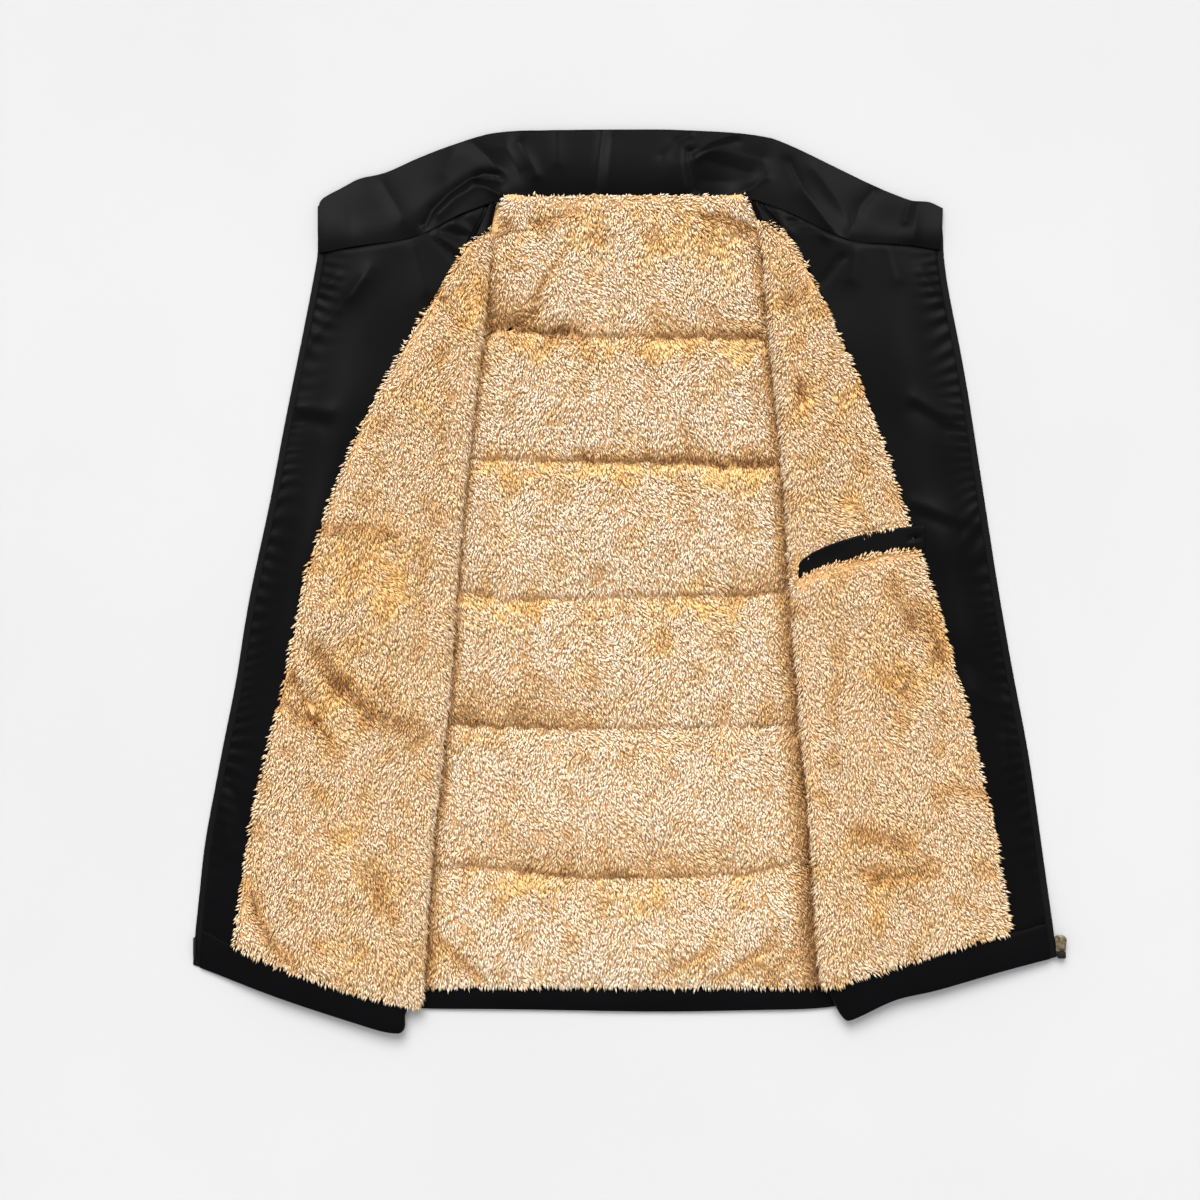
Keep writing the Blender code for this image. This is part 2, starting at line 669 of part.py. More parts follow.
def make_back_band():
    """The hem's turned-up band across the back."""
    rows = len(BACK_BAND_HEIGHTS) - 1
    top = CHANNELS[0] - SEAM_GAP

    def place(column, row, is_outer):
        across = across_at(column)
        up = lerp(0.0, (top - HEM_Y) / (CHANNELS[-1] - HEM_Y), row / rows)
        point = back_point(across, up, back_top(across))
        side = 1 if point.x > 0 else -1
        inside = smooth((abs(FOLD_X[side](HEM_Y)) - abs(point.x)) / FOLD_CLEAR)
        height = lerp(BACK_BAND_PRESSED, BACK_BAND_HEIGHTS[row], inside) if is_outer else SHELL + LAYER_GAP
        return point.x, point.y, height

    return cloth("back_hem_band", BACK_COLUMNS, rows, place, "facing")


# ---- the collar ----
COLLAR_ROWS = 6


def collar_columns():
    """The x of each section point along the collar's seam: those of the fronts and of the back's top, and
    one between each two."""
    right = [over_point(-1, NECK, share).x for share in neck_shares(-1)]
    left = [over_point(1, NECK, share).x for share in neck_shares(1)]
    top = BACK[-1]
    back = [
        lerp(top.right_x, top.left_x, across_at(column))
        for column in range(SHOULDER_COLUMNS + 1, BACK_COLUMNS - SHOULDER_COLUMNS)
    ]
    columns = [*reversed(right), RIGHT_FRONT[NECK].fold_x, *back, LEFT_FRONT[NECK].fold_x, *left]
    doubled = [x for a, b in zip(columns, columns[1:]) for x in (a, (a + b) / 2)]
    return doubled + [columns[-1]]


def neck_shares(side):
    seam, tape = lining_share(side, NECK), tape_share(side, NECK)
    return [lerp(seam, tape, share) for share in FACING_SHARES]


def collar_seam(columns, column):
    """A point of the collar's seam: between two section points it lies on the straight line, like the panels."""
    if column % 2 == 0:
        return Vector((columns[column], NECK_Y(columns[column]) + SEAM_GAP))
    return (collar_seam(columns, column - 1) + collar_seam(columns, column + 1)) / 2


def collar_point(columns, column, up):
    """A point of the collar, on the straight line from its seam to its top edge."""
    t, step, last = 0.0, 0.01, len(COLLAR) - 1
    while t < last and curve_at(COLLAR, "seam_x", t) < columns[column]:
        t += step
    return collar_seam(columns, column).lerp(point_at(COLLAR, "top_x", "top_y", t), up)


def collar_base(x, y):
    """Height of the collar's seam above the surface: level on the back, climbing to the fronts."""
    side = 1 if x > 0 else -1
    neck = abs(FRONTS[side][NECK].fold_x)
    on_front = smooth((abs(x) - neck + COLLAR_RISE) / COLLAR_RISE)
    return lerp(0.0, middle(x, y) + LEG_GAP, on_front)


def make_collar(name, low, thickness, finish):
    """One layer of the collar, from low above the collar's underside. Its top edge lies on the surface."""
    columns = collar_columns()

    def place(column, row, is_outer):
        up = row / COLLAR_ROWS
        point = collar_point(columns, column, up)
        base = collar_base(*collar_seam(columns, column)) * (1 - smooth(up))
        return point.x, point.y, base + low + (thickness(point, up) if is_outer else 0.0)

    return cloth(name, len(columns) - 1, COLLAR_ROWS, place, finish)


def collar_facing_thick(point, up):
    """Padded in its middle, flat at its seams, with the soft folds that radiate from the fronts."""
    full = COLLAR_THIN + COLLAR_PUFF * math.sin(math.pi * min(up + 0.05, 1.0)) ** 0.7
    return max(full + relief(COLLAR_FOLDS, *point), COLLAR_LEAST)


# ---- the zip's hardware ----
def solid_object(name, shape, finish):
    """An object from a bmesh in millimetres. The bmesh is used up."""
    bmesh.ops.scale(shape, verts=shape.verts, vec=(MM, MM, MM))
    bmesh.ops.recalc_face_normals(shape, faces=shape.faces[:])
    mesh = bpy.data.meshes.new(name)
    shape.to_mesh(mesh)
    shape.free()
    return add_object(name, mesh, finish)


def rounded(shape, edges, offset):
    bmesh.ops.bevel(shape, geom=edges, offset=offset, segments=2, profile=0.5, affect="EDGES")


def box(name, centre, size, finish, edge=0.0):
    """A block with rounded edges."""
    block = bmesh.new()
    bmesh.ops.create_cube(block, size=1.0)
    bmesh.ops.scale(block, verts=block.verts, vec=size)
    bmesh.ops.translate(block, verts=block.verts, vec=centre)
    if edge:
        rounded(block, block.edges[:], edge)
    return solid_object(name, block, finish)


def cross_pin(name, centre, radius, length, finish):
    """A round bar along X."""
    bar = bmesh.new()
    bmesh.ops.create_cone(bar, cap_ends=True, segments=16, radius1=radius, radius2=radius, depth=length)
    upright = Vector((0, 0, 1)).rotation_difference(Vector((1, 0, 0))).to_matrix()
    bmesh.ops.rotate(bar, verts=bar.verts, matrix=upright)
    bmesh.ops.translate(bar, verts=bar.verts, vec=centre)
    return solid_object(name, bar, finish)


def slider_plate(name, low):
    """One plate of the slider: its outline raised by the plate's thickness, with rounded edges."""
    x, y = SLIDER_AT
    right = [(x + row.half_width, y + row.y, low) for row in SLIDER_OUTLINE]
    left = [(x - row.half_width, y + row.y, low) for row in reversed(SLIDER_OUTLINE)]
    plate = bmesh.new()
    outline = plate.faces.new([plate.verts.new(corner) for corner in right + left])
    raised = bmesh.ops.extrude_face_region(plate, geom=[outline])
    top = [v for v in raised["geom"] if isinstance(v, bmesh.types.BMVert)]
    bmesh.ops.translate(plate, verts=top, vec=(0, 0, PLATE_THICK))
    level = [edge for edge in plate.edges if edge.verts[0].co.z == edge.verts[1].co.z]
    rounded(plate, level, PLATE_EDGE)
    return solid_object(name, plate, "metal")


def combined(target, others, operation="UNION"):
    """The target with the others joined to it or cut from it. The others are used up."""
    for other in others:
        step = target.modifiers.new(operation.lower(), "BOOLEAN")
        step.operation = operation
        step.object = other
        bpy.context.view_layer.update()
        made = bpy.data.meshes.new_from_object(target.evaluated_get(bpy.context.evaluated_depsgraph_get()))
        target.modifiers.remove(step)
        target.data = made
        bpy.data.objects.remove(other)
    return target


def pin_y():
    return SLIDER_AT[1] + SLIDER_LENGTH / 2 - PIN_INSET


def make_slider():
    """Two plates with a wedge between them, and two lugs below that hold the pull tab's pin."""
    x, y = SLIDER_AT
    upper = SLIDER_LOW + PLATE_THICK + SLIDER_MOUTH
    body = slider_plate("zip_slider", SLIDER_LOW)
    wedge_middle = SLIDER_LOW + PLATE_THICK + SLIDER_MOUTH / 2
    wedge = box("wedge", (x + 1.6, y + 3.2, wedge_middle), (2.0, 4.0, SLIDER_MOUTH + PLATE_THICK), "metal")
    lug_top = SLIDER_LOW + PLATE_THICK / 2
    lug_at = EYE_LENGTH / 2 + SIDE_PLAY + LUG_WIDTH / 2
    lug_size = (LUG_WIDTH, LUG_LENGTH, lug_top - LUG_LOW)
    lug_middle = (lug_top + LUG_LOW) / 2
    lugs = [box("lug", (x + k * lug_at, pin_y(), lug_middle), lug_size, "metal") for k in (-1, 1)]
    pin = cross_pin("pin", (x, pin_y(), PIN_Z), PIN_RADIUS, 2 * lug_at, "metal")
    combined(body, [wedge, slider_plate("upper_plate", upper), *lugs, pin])


def make_pull_tab():
    """A flat tab that turns on the slider's pin. At rest it points to the hem, under the slider."""
    x = SLIDER_AT[0]
    tab_from, tab_to = pin_y() - TAB_NECK, pin_y() - TAB_LENGTH
    neck_from = pin_y() - EYE_HOLE - 0.15
    neck_to = tab_from - 0.6
    tab_size = (TAB_WIDTH, tab_from - tab_to, TAB_THICK)
    neck_size = (EYE_LENGTH, neck_from - neck_to, TAB_THICK - 0.1)
    tab = box("pull_tab", (x, (tab_from + tab_to) / 2, PIN_Z), tab_size, "metal", 0.25)
    neck = box("neck", (x, (neck_from + neck_to) / 2, PIN_Z), neck_size, "metal")
    eye = cross_pin("eye", (x, pin_y(), PIN_Z), EYE_RADIUS, EYE_LENGTH, "metal")
    hole = cross_pin("hole", (x, pin_y(), PIN_Z), EYE_HOLE, EYE_LENGTH * 2, "metal")
    combined(combined(tab, [neck, eye]), [hole], "DIFFERENCE")


def make_zip_end_pieces():
    """The retaining box under the slider on one tape, and the insertion pin on the other."""
    x, y = SLIDER_AT
    box_y = y - SLIDER_LENGTH / 2 - SEAM_GAP / 2 - BOX_SIZE[1] / 2
    box("zip_box", (x + 1.0, box_y, SLIDER_LOW + 0.5 + BOX_SIZE[2] / 2), BOX_SIZE, "plastic", BOX_EDGE)
    foot = RIGHT_FRONT[0]
    pin_at = (
        foot.edge_x + 0.5 + INSERT_PIN_SIZE[0] / 2,
        foot.edge_y + 4.5 + INSERT_PIN_SIZE[1] / 2,
        TAPE_THICK + LAYER_GAP + INSERT_PIN_SIZE[2] / 2,
    )
    box("zip_pin", pin_at, INSERT_PIN_SIZE, "plastic", 0.5)


def make_vest():
    make_back_shell()
    make_back_lining()
    make_back_band()
    for side, wearer in ((-1, "right"), (1, "left")):
        make_front_shell(side, f"{wearer}_front_shell")
        lining = make_front_lining(side, f"{wearer}_front_lining")
        make_facing(side, f"{wearer}_facing")
        make_front_band(side, f"{wearer}_hem_band")
        make_zip_tape(side, f"{wearer}_zip_tape")
        if side > 0:
            make_welt(lining)
    make_collar("collar_shell", 0.0, lambda point, up: SHELL, "shell")
    make_collar("collar_facing", SHELL + LAYER_GAP, collar_facing_thick, "facing")
    make_slider()
    make_pull_tab()
    make_zip_end_pieces()


for leftover in list(bpy.data.objects):
    bpy.data.objects.remove(leftover)
VEST = bpy.data.collections.new("puffer_vest")
bpy.context.scene.collection.children.link(VEST)
make_vest()
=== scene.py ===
"""Looks of a puffer vest that lies open on its back: black polyester cloth, long sherpa pile, an open-end zip.

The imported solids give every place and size. Here each layer of cloth becomes a finer sheet with its creases,
the linings grow their pile tuft by tuft, and the seams and the zip get their thread, tape and coil.
Left and right are the wearer's: the left front has positive x. Lengths are in metres unless a name says _MM.
"""

import math
from collections import namedtuple

import bmesh
import bpy
import numpy as np
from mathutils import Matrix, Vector
from mathutils.bvhtree import BVHTree


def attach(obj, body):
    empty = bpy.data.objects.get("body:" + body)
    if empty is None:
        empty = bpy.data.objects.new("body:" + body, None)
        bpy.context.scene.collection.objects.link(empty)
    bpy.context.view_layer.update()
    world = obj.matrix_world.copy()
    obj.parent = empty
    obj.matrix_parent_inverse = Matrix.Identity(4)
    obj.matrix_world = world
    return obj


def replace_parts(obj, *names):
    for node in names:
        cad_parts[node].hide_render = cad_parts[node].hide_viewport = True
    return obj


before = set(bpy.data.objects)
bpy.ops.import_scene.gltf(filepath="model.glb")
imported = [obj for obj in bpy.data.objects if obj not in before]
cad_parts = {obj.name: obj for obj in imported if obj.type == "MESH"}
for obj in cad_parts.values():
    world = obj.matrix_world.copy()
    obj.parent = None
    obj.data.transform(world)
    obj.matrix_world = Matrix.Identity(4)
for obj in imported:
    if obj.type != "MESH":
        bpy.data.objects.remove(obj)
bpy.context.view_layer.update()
MM = 0.001

# ---- the photograph's view ----
VIEW_CENTRE = Vector((-23.9 * MM, -15.2 * MM, 0.0))
VIEW_HEIGHT = 2.2  # of the camera above the ground
VIEW_WIDTH = 0.984  # what the picture spans on the ground

# ---- soft unevenness, each kind with its strength, its size in mm and its seed ----
Wave = namedtuple("Wave", "strength size seed")
CLOTH_LUMPS = Wave(0.45, 46, 5)  # height of the black cloth
PUCKER_DRIFT = Wave(0.8, 60, 8)  # moves the puckers along the zip
PUCKER_FADE = Wave(0.5, 70, 9)
FRONT_LUMPS = Wave(1.1, 42, 51)  # height of the fronts' pile
BACK_LUMPS = Wave(0.6, 30, 52)
CHANNEL_WAVER = Wave(0.8, 12, 34)  # quilting seams run less than straight
GOLDEN_EDGE = Wave(10, 26, 30)  # how far the golden pile reaches below a seam
PATCH_GRAIN = Wave(0.35, 8, 32)
GOLDEN_CLOUDS = Wave(0.22, 22, 33)
GOLDEN_SPECKS = Wave(0.1, 7, 35)
SHADE_CLOUDS = Wave(0.22, 20, 41)
ROW_WAVER = Wave(2.2, 16, 61)
ROW_FADE = Wave(0.6, 22, 62)
PILE_SWEEP = Wave(0.45, 30, 42)  # angle at which the pile lies
PILE_CURL = Wave(0.3, 4, 43)
PILE_LEAN = Wave(0.14, 6, 44)
TIP_CLOUDS = Wave(0.05, 6, 63)

# ---- cloth ----
WELD = 0.00001
RIM_ANGLE = math.radians(60)  # edges sharper than this bound a sheet
RIM_ROUND = 0.5 * MM
EDGE_STEP, EDGE_BAND = 7 * MM, 0.6 * MM  # an edge's line has a point each step, from what lies this near its rim
CREASE_POWER = 1.35  # 2 would be a bell, less is sharper along its line
PUCKER_PITCH_MM = 10.5  # along the zip, where the tape gathers the cloth
PUCKER_RISE_MM = 0.55
PUCKER_MEAN = 0.6  # share of that rise before it fades and swells
PUCKER_DEPTH_MM = 15.0  # how far they reach in from the zip
TUCK_REACH, TUCK_PUSH, TUCK_DROP = 3.2 * MM, 1.3 * MM, 1.2 * MM  # a sheet's edge drawn under its neighbour
WELT_SLOPE_MM = 212  # from this x out the welt lies on the lining's slope to the facing
WELT_STRETCH = 0.9  # that part is drawn out by this share of its length
WELT_LOOSE_MM, WELT_LOOSE_OVER_MM = 1.2, 14  # and lies a little loose, over this length
COLLAR_WIDER_MM = (4.8, 3.8)  # the collar's right and left end reach out over the zip tapes
COLLAR_END_MM, COLLAR_END_OVER_MM = 230, 16  # and start to do so here, over this length
TAPE_KEPT, TAPE_TUCK = 4 * MM, 3 * MM  # a tape's outer strip stays, what lies further in is moved under the facing
TAPE_TOP_X, TAPE_TOP_WAY = 255 * MM, (0.55, 0.83)  # where each tape is cut off, and across which way
TAPE_TOP_Y = {"right": 307.5 * MM, "left": 302.5 * MM}
SIDES = ((-1, "right"), (1, "left"))  # the sign of x on each of the wearer's sides
ABOVE_ALL = 60 * MM  # rays that look for the topmost layer start at this height

# ---- pile ----
TUFT_SPACING = 1.68 * MM
TUFT_LENGTH = 6.6 * MM
TUFT_WIDTH = 1.75 * MM
TUFT_FLATNESS = 0.4  # thickness over width
TUFT_LEAN = math.radians(42)  # above the cloth
FLAT_LEAN = math.radians(15)  # where the pile is pressed flat
TUFT_BEND = (0.8, 0.4)  # a tuft's middle, as shares of its height and its run
LENGTH_SPREAD, WIDTH_SPREAD, CURL_SPREAD, LEAN_SPREAD = 0.18, 0.22, 0.27, 0.14  # from tuft to tuft
FLAT_LONGER, FLAT_WIDER = 0.2, 0.6  # flat pile shows more of each tuft
PILE_TURN = 0.25  # radians by which the pile lies off the straight way to the hem
FLAT_CURL, FLAT_TILT = 0.7, 0.5  # what flatness takes off the tufts' differences in way and in lean
SHADE_TILT = 0.5  # full shade lowers the pile by this share of what full flatness does
LEAST_RISE, LEAST_RUN = 0.5, 0.3  # shares of the root's depth and of the tuft's length
DRAWS_PER_CELL = 2.4  # so that few cells of that spacing stay empty
LOWEST_FACING = -0.45  # no pile where a lining's normal points further down
LEAN_RANGE = (0.05, 1.2)  # radians above the cloth
LENGTH_RANGE, WIDTH_RANGE = (0.55, 1.5), (0.5, 1.6)  # shares of the usual length and width
GROUND_SHARE = 0.3  # the knit ground lies this share of the lining's thickness inside it
GROUND_MOST = 3.4 * MM
THICKEST = 30 * MM  # no lining is thicker
COVER_REACH = 12.0 * MM  # a lining stays bald where another layer lies this close over it
LEAST_HEIGHT = 0.8 * MM  # of roots and tips above the ground
EDGE_REACH = 8.0 * MM  # pile this near the black cloth leans over it
EDGE_PULL, EDGE_LENGTH = 1.5, 0.75  # how strongly it turns there, and its share of the full length
WELT_PULL, WELT_LENGTH = (2.6, -1.0), (0.9, 0.7)  # the same beside the pocket's welt: below it, and above it
WELT_LIFT, WELT_STEEPER = 2.2 * MM, 0.5  # below the welt the tips also stand up over it
NECK_TOP = 287 * MM  # pile above this lies over the collar's seam
NECK_PULL, NECK_CORNER_MM, NECK_TURN_MM = 1.1, 90, 12  # and turns outward from this x on
HIDDEN_REACH_MM = (8.0, 15.0)  # pile this near the fold of the right or the left front lies in its shade
HIDDEN_AT_MIDDLE, HIDDEN_FALL = 1.25, 0.6  # that reach's share at y of 0, and the metres of y in which it falls by 1
HIDDEN_SHADE = 1.25
FUR_ENDS = {  # where each front's pile ends at the neck: a place in mm, and the way out of the pile
    "right": ((-113, 288), (-0.55, 0.83)),
    "left": ((116, 290), (0.5, 0.86)),
}
CHANNEL_DEPTH_MM = 3.8
CHANNEL_DROP_MM = 2  # its deepest line lies this far below the seam's own
CHANNEL_STEEP_MM = 3.2  # how wide a channel's upper side is
CHANNEL_GENTLE_MM = 12.0  # and its lower side
GOLDEN_REACH_MM = 24  # golden pile below a channel
PATCH_STRENGTH, PATCH_POWER = 1.15, 0.8  # all golden patches alike; a power of 1 would be a bell
FRONT_GOLDEN, BACK_SHADE, FRONT_SHADE = 0.04, 0.02, 0.21  # what each lining has everywhere
FOLD_SHADE_MM, FOLD_SHADE_MOST = 5.2, 0.9  # a trough this deep would be in full shade
SEAM_SHADE, SEAM_SHADOW, SEAM_SHADOW_MM = 0.55, 0.45, 3.5  # painted shade above a seam: over its reach, and a painted shadow close to it
ROW_PITCH_MM, ROW_SHADE = 7.3, 0.3  # rows of knit

# ---- the back lining's top edge, in mm ----
NECK_FROM_MM, NECK_OVER_MM = 296, 14  # it rolls up over the collar's seam from this y on
NECK_UP_MM, NECK_CORNER_UP_MM = 3.6, 4  # this far, and this much more at its corners
FRONT_ENDS_MM = (108, 99)  # the right and the left front's ends lie over it from this x out
CORNER_RISE_MM, CORNER_FROM_MM = 7.5, 284  # beside those ends it bulges, from this y on
TOP_RISE_MM = 2.5

# ---- colours: a tuft's root and tip as shares along its two ramps, and the cream ramp's share ----
Tone = namedtuple("Tone", "plain shaded flat spread")  # full, and what shade, flatness and chance take off it
# a root lies lower on the ramps than its tip: painted shade among the tufts
ROOT_TONE = Tone(0.7, 0.54, 0.0, 0.0)
TIP_TONE = Tone(0.82, 0.56, 0.11, 0.05)
CREAM_SHARE = Tone(0.95, 0.0, 1.0, 0.06)
UPRIGHT_TONES = (0.1, 0.2)  # what standing up over the welt takes off a tip's tone and cream
# each ramp runs from pile in deep painted shade, at 0, to the lightest tips, at 1
GOLDEN_PILE = [
    (0.0, (92, 52, 18)),
    (0.25, (152, 104, 54)),
    (0.5, (210, 164, 102)),
    (0.75, (230, 192, 134)),
    (1.0, (250, 222, 172)),
]
CREAM_PILE = [
    (0.0, (92, 54, 20)),
    (0.25, (152, 108, 62)),
    (0.5, (216, 178, 128)),
    (0.75, (244, 226, 202)),
    (1.0, (255, 252, 244)),
]
KNIT_COLOURS = ((196, 148, 92), (224, 180, 124))
METAL_COLOURS = ((70, 62, 48), (138, 126, 102))

# ---- thread and zip ----
STITCH_PITCH = 3.4 * MM
STITCH_LENGTH = 2.5 * MM
STITCH_WIDTH = 0.5 * MM
STITCH_FLATNESS = 0.7  # thickness over width
STITCH_ARCH = 0.12 * MM
STITCH_INSET = 1.8 * MM  # topstitch inside a facing's edge
FACING_STITCH_TOP = 266 * MM  # the topstitch leaves the facing at this y
COLLAR_STITCH_Y = (270 * MM, 302 * MM)  # and goes on along the collar's end, between these
COLLAR_STITCH_X = 200 * MM  # which lies out from here
COIL_PITCH = 1.6 * MM
COIL_WIDTH = 0.8 * MM
COIL_IN, COIL_OUT = 1.02 * MM, 0.9 * MM  # from the tape's edge, in over the tape and out past it
COIL_HALF, COIL_SLANT = 0.55 * MM, 0.48 * MM  # half a turn's height, and how far it goes on along the tape
COIL_TOP_Y = 300 * MM

# ---- studio ----
FLOOR_SIZE, FLOOR_DROP = 14.0, 0.4 * MM
FLOOR_TONES = (0.411, 0.421)
SKY_STRENGTH = 0.91
Sun = namedtuple("Sun", "name strength spread towards")
SUNS = [Sun("key", 4.45, 38, (0.12, -0.66, -0.85)), Sun("fill", 0.4, 60, (-0.6, 0.3, -0.9))]
Panel = namedtuple("Panel", "name x power")  # a lamp that makes the cloth's highlights alone
PANELS = [Panel("left gloss panel", -0.9, 46), Panel("right gloss panel", 0.85, 40)]
PANEL_SIZE, PANEL_Y, PANEL_Z = (0.7, 0.6), 1.1, 1.7

# ---- tables, in millimetres on the ground ----
Nudge = namedtuple("Nudge", "x y reach right up")  # a small shift of an outline round a spot
EDGE_NUDGES = [
    Nudge(-173, -352, 12, -8, 0),
    Nudge(-190, -369, 8, 3, 1),
    Nudge(217, -347, 26, 0, 4),
    Nudge(166, -345, 11, 2, 0),
    Nudge(275, 165, 75, 2.2, 0),
    Nudge(-340, -215, 40, -1.6, 0),
    Nudge(-318, -85, 45, 1.8, 0),
]
TAPE_NUDGES = [Nudge(259, 300, 14, -3, 0)]
BACK_HEM_NUDGES = [Nudge(25, -352, 90, 0, -2.2)]
COLLAR_NUDGES = [
    Nudge(246, 310, 10, 0, 2.6),
    Nudge(-222, 325, 22, 0, 1.2),
    Nudge(-250, 272, 14, 0, -1.6),
    Nudge(252, 272, 14, 0, -1.6),
]
Crease = namedtuple("Crease", "width height line")  # under 0 is a trough, over 0 a ridge
COLLAR_CREASES = [Crease(*row) for row in [
    (3.4, -2.4, [(-167, 291), (-161, 303), (-147, 317), (-133, 327), (-120, 333), (-108, 332)]),
    (5.0, 1.8, [(-155, 300), (-142, 313), (-128, 321)]),
    (3.4, 2.0, [(-128, 325), (-116, 321), (-106, 315)]),
    (4.0, -1.9, [(-124, 329), (-106, 327)]),
    (9.0, -2.2, [(-101, 356), (-90, 334)]),
    (5.0, 1.8, [(-89, 358), (-76, 332)]),
    (6.0, 0.8, [(-202, 326), (-193, 311), (-185, 296)]),
    (5.0, -1.6, [(-22, 368), (-28, 320)]),
    (7.0, 1.0, [(-14, 362), (-18, 321)]),
    (6.0, 1.0, [(-59, 368), (-58, 343)]),
    (6.0, 1.6, [(-128, 358), (-116, 347), (-106, 335)]),
    (9.0, -1.2, [(-143, 350), (-151, 333)]),
    (4.0, 1.6, [(174, 276), (156, 299), (140, 321), (130, 343)]),
    (9.0, -1.4, [(181, 292), (169, 313), (152, 337)]),
    (5.0, 1.3, [(178, 280), (189, 307), (200, 319)]),
    (4.0, 1.3, [(112, 330), (98, 320), (88, 316)]),
    (10.0, -1.5, [(61, 345), (98, 334)]),
    (4.0, -1.8, [(48, 352), (50, 337), (54, 320)]),
    (6.0, 1.2, [(42, 341), (45, 323)]),
    (4.0, -1.8, [(51, 351), (68, 360), (85, 366)]),
    (4.0, 1.5, [(56, 346), (68, 354), (87, 360)]),
    (4.5, -1.6, [(28, 348), (38, 360), (50, 366)]),
    (3.5, -1.3, [(230, 310), (225, 294)]),
    (5.0, 1.0, [(235, 309), (232, 280)]),
    (13.0, -2.0, [(62, 328), (100, 326)]),
    (12.0, -1.5, [(-92, 317), (-20, 315), (40, 315), (80, 317)]),
    (11.0, 2.2, [(58, 352), (82, 351), (108, 345)]),
]]
FACING_CREASES = [Crease(*row) for row in [
    (3.0, -1.8, [(-162, 283), (-151, 273), (-141, 262)]),
    (3.5, 1.6, [(-157, 283), (-145, 275), (-134, 267)]),
    (3.5, -1.8, [(-153, 286), (-141, 282), (-130, 282)]),
    (3.0, 1.5, [(-143, 292), (-134, 288), (-127, 280)]),
    (3.0, -1.6, [(-136, 298), (-130, 291), (-125, 284)]),
    (7.0, 1.2, [(-176, 272), (-171, 254), (-166, 237)]),
    (6.0, 1.2, [(-212, 255), (-226, 233)]),
    (4.0, 1.0, [(-239, 249), (-248, 240)]),
    (6.0, 1.2, [(-217, 247), (-263, 195)]),
    (6.0, 1.2, [(-270, 142), (-244, 139)]),
    (6.0, -1.0, [(-266, 132), (-249, 128)]),
    (7.0, -1.2, [(-329, -160), (-319, -187), (-314, -210)]),
    (8.0, 1.0, [(-334, -179), (-326, -220)]),
    (6.0, 1.2, [(184, 269), (181, 247)]),
    (6.0, 1.0, [(211, 272), (219, 247)]),
    (3.0, -1.5, [(156, 242), (173, 264)]),
    (3.5, -1.5, [(129, 294), (140, 295), (152, 288)]),
    (4.0, 1.5, [(138, 299), (161, 280)]),
    (5.0, 1.2, [(120, 300), (132, 284)]),
    (5.0, 1.0, [(238, 254), (252, 231)]),
    (6.0, 1.2, [(232, 149), (263, 134)]),
    (6.0, -1.0, [(234, 141), (259, 124)]),
    (6.0, 1.3, [(232, 64), (278, 50)]),
    (6.0, -1.0, [(238, 54), (271, 41)]),
    (7.0, -1.1, [(276, -66), (304, -89)]),
    (8.0, 1.2, [(281, -89), (304, -101)]),
    (5.0, 0.8, [(307, -130), (312, -171)]),
]]
Channel = namedtuple("Channel", "reach line looks")  # looks: x along it, how golden below, how much painted shade above
CHANNELS = [  # quilting seams across the back
    Channel(
        30,
        [(-127, -230), (-39, -239), (26, -239), (92, -236), (125, -228)],
        [
            (-150, 0.1, 0.2), (-100, 0.6, 0.55), (-40, 0.3, 0.6), (20, 0.5, 0.6), (60, 0.1, 0.45),
            (96, 0.6, 0.25), (140, 0.1, 0.2),
        ],
    ),
    Channel(
        34,
        [(-143, -114), (-39, -118), (48, -116), (140, -114)],
        [(-150, 0.6, 0.8), (-110, 0.4, 0.75), (-60, 0.1, 0.7), (-15, 0.1, 0.25), (40, 0.2, 0.1), (140, 0.1, 0.25)],
    ),
    Channel(
        22,
        [(-138, -4), (-103, -12), (-8, -9), (101, -8), (135, -4)],
        [(-140, 0.8, 0.3), (-70, 0.6, 0.15), (0, 0.35, 0.15), (60, 0.7, 0.2), (95, 0.6, 0.5), (135, 0.5, 0.7)],
    ),
    Channel(
        10,
        [(-122, 104), (-56, 102), (45, 100), (79, 98), (120, 98)],
        [(-130, 0.6, 0.25), (-60, 0.6, 0.3), (-30, 0.9, 0.7), (40, 1.0, 0.95), (100, 1.0, 0.9), (125, 0.7, 1.0)],
    ),
    Channel(
        12,
        [(-119, 204), (-100, 206), (-86, 209), (-68, 205), (-30, 203), (60, 203), (112, 201)],
        [
            (-119, 0.5, 1.0), (-85, 0.6, 0.8), (-55, 0.8, 0.8), (-30, 0.5, 0.3), (5, 0.8, 0.35), (30, 1.0, 0.7),
            (112, 1.0, 0.8),
        ],
    ),
]
BACK_CREASES = [Crease(*row) for row in [
    (4.0, -4.0, [(-119, 204), (-100, 207), (-86, 213), (-78, 221)]),
    (12.0, -2.4, [(-112, 214), (-90, 222)]),
    (7.0, 1.8, [(-118, 193), (-98, 205), (-75, 214), (-55, 224)]),
    (5.0, -3.4, [(-64, 204), (-54, 208), (-44, 204)]),
    (4.0, -2.2, [(-78, 221), (-72, 245), (-60, 262), (-50, 276)]),
    (7.0, 1.4, [(-68, 232), (-52, 258), (-34, 296)]),
    (6.0, -3.4, [(-114, 286), (-100, 293)]),
    (5.0, -2.8, [(-76, 295), (-58, 300), (-44, 303)]),
    (5.0, -4.6, [(58, 301), (74, 299), (90, 294), (104, 285), (109, 270), (110, 250)]),
    (10.0, 2.0, [(70, 308), (92, 302), (106, 294)]),
    (9.0, -2.2, [(-110, 244), (-114, 218)]),
    (5.0, -3.0, [(-158, -288), (-142, -303), (-124, -322)]),
    (8.0, -2.4, [(146, -290), (112, -322)]),
    (5.0, -2.0, [(112, -296), (72, -324)]),
    (5.0, -2.0, [(64, -300), (22, -322)]),
]]
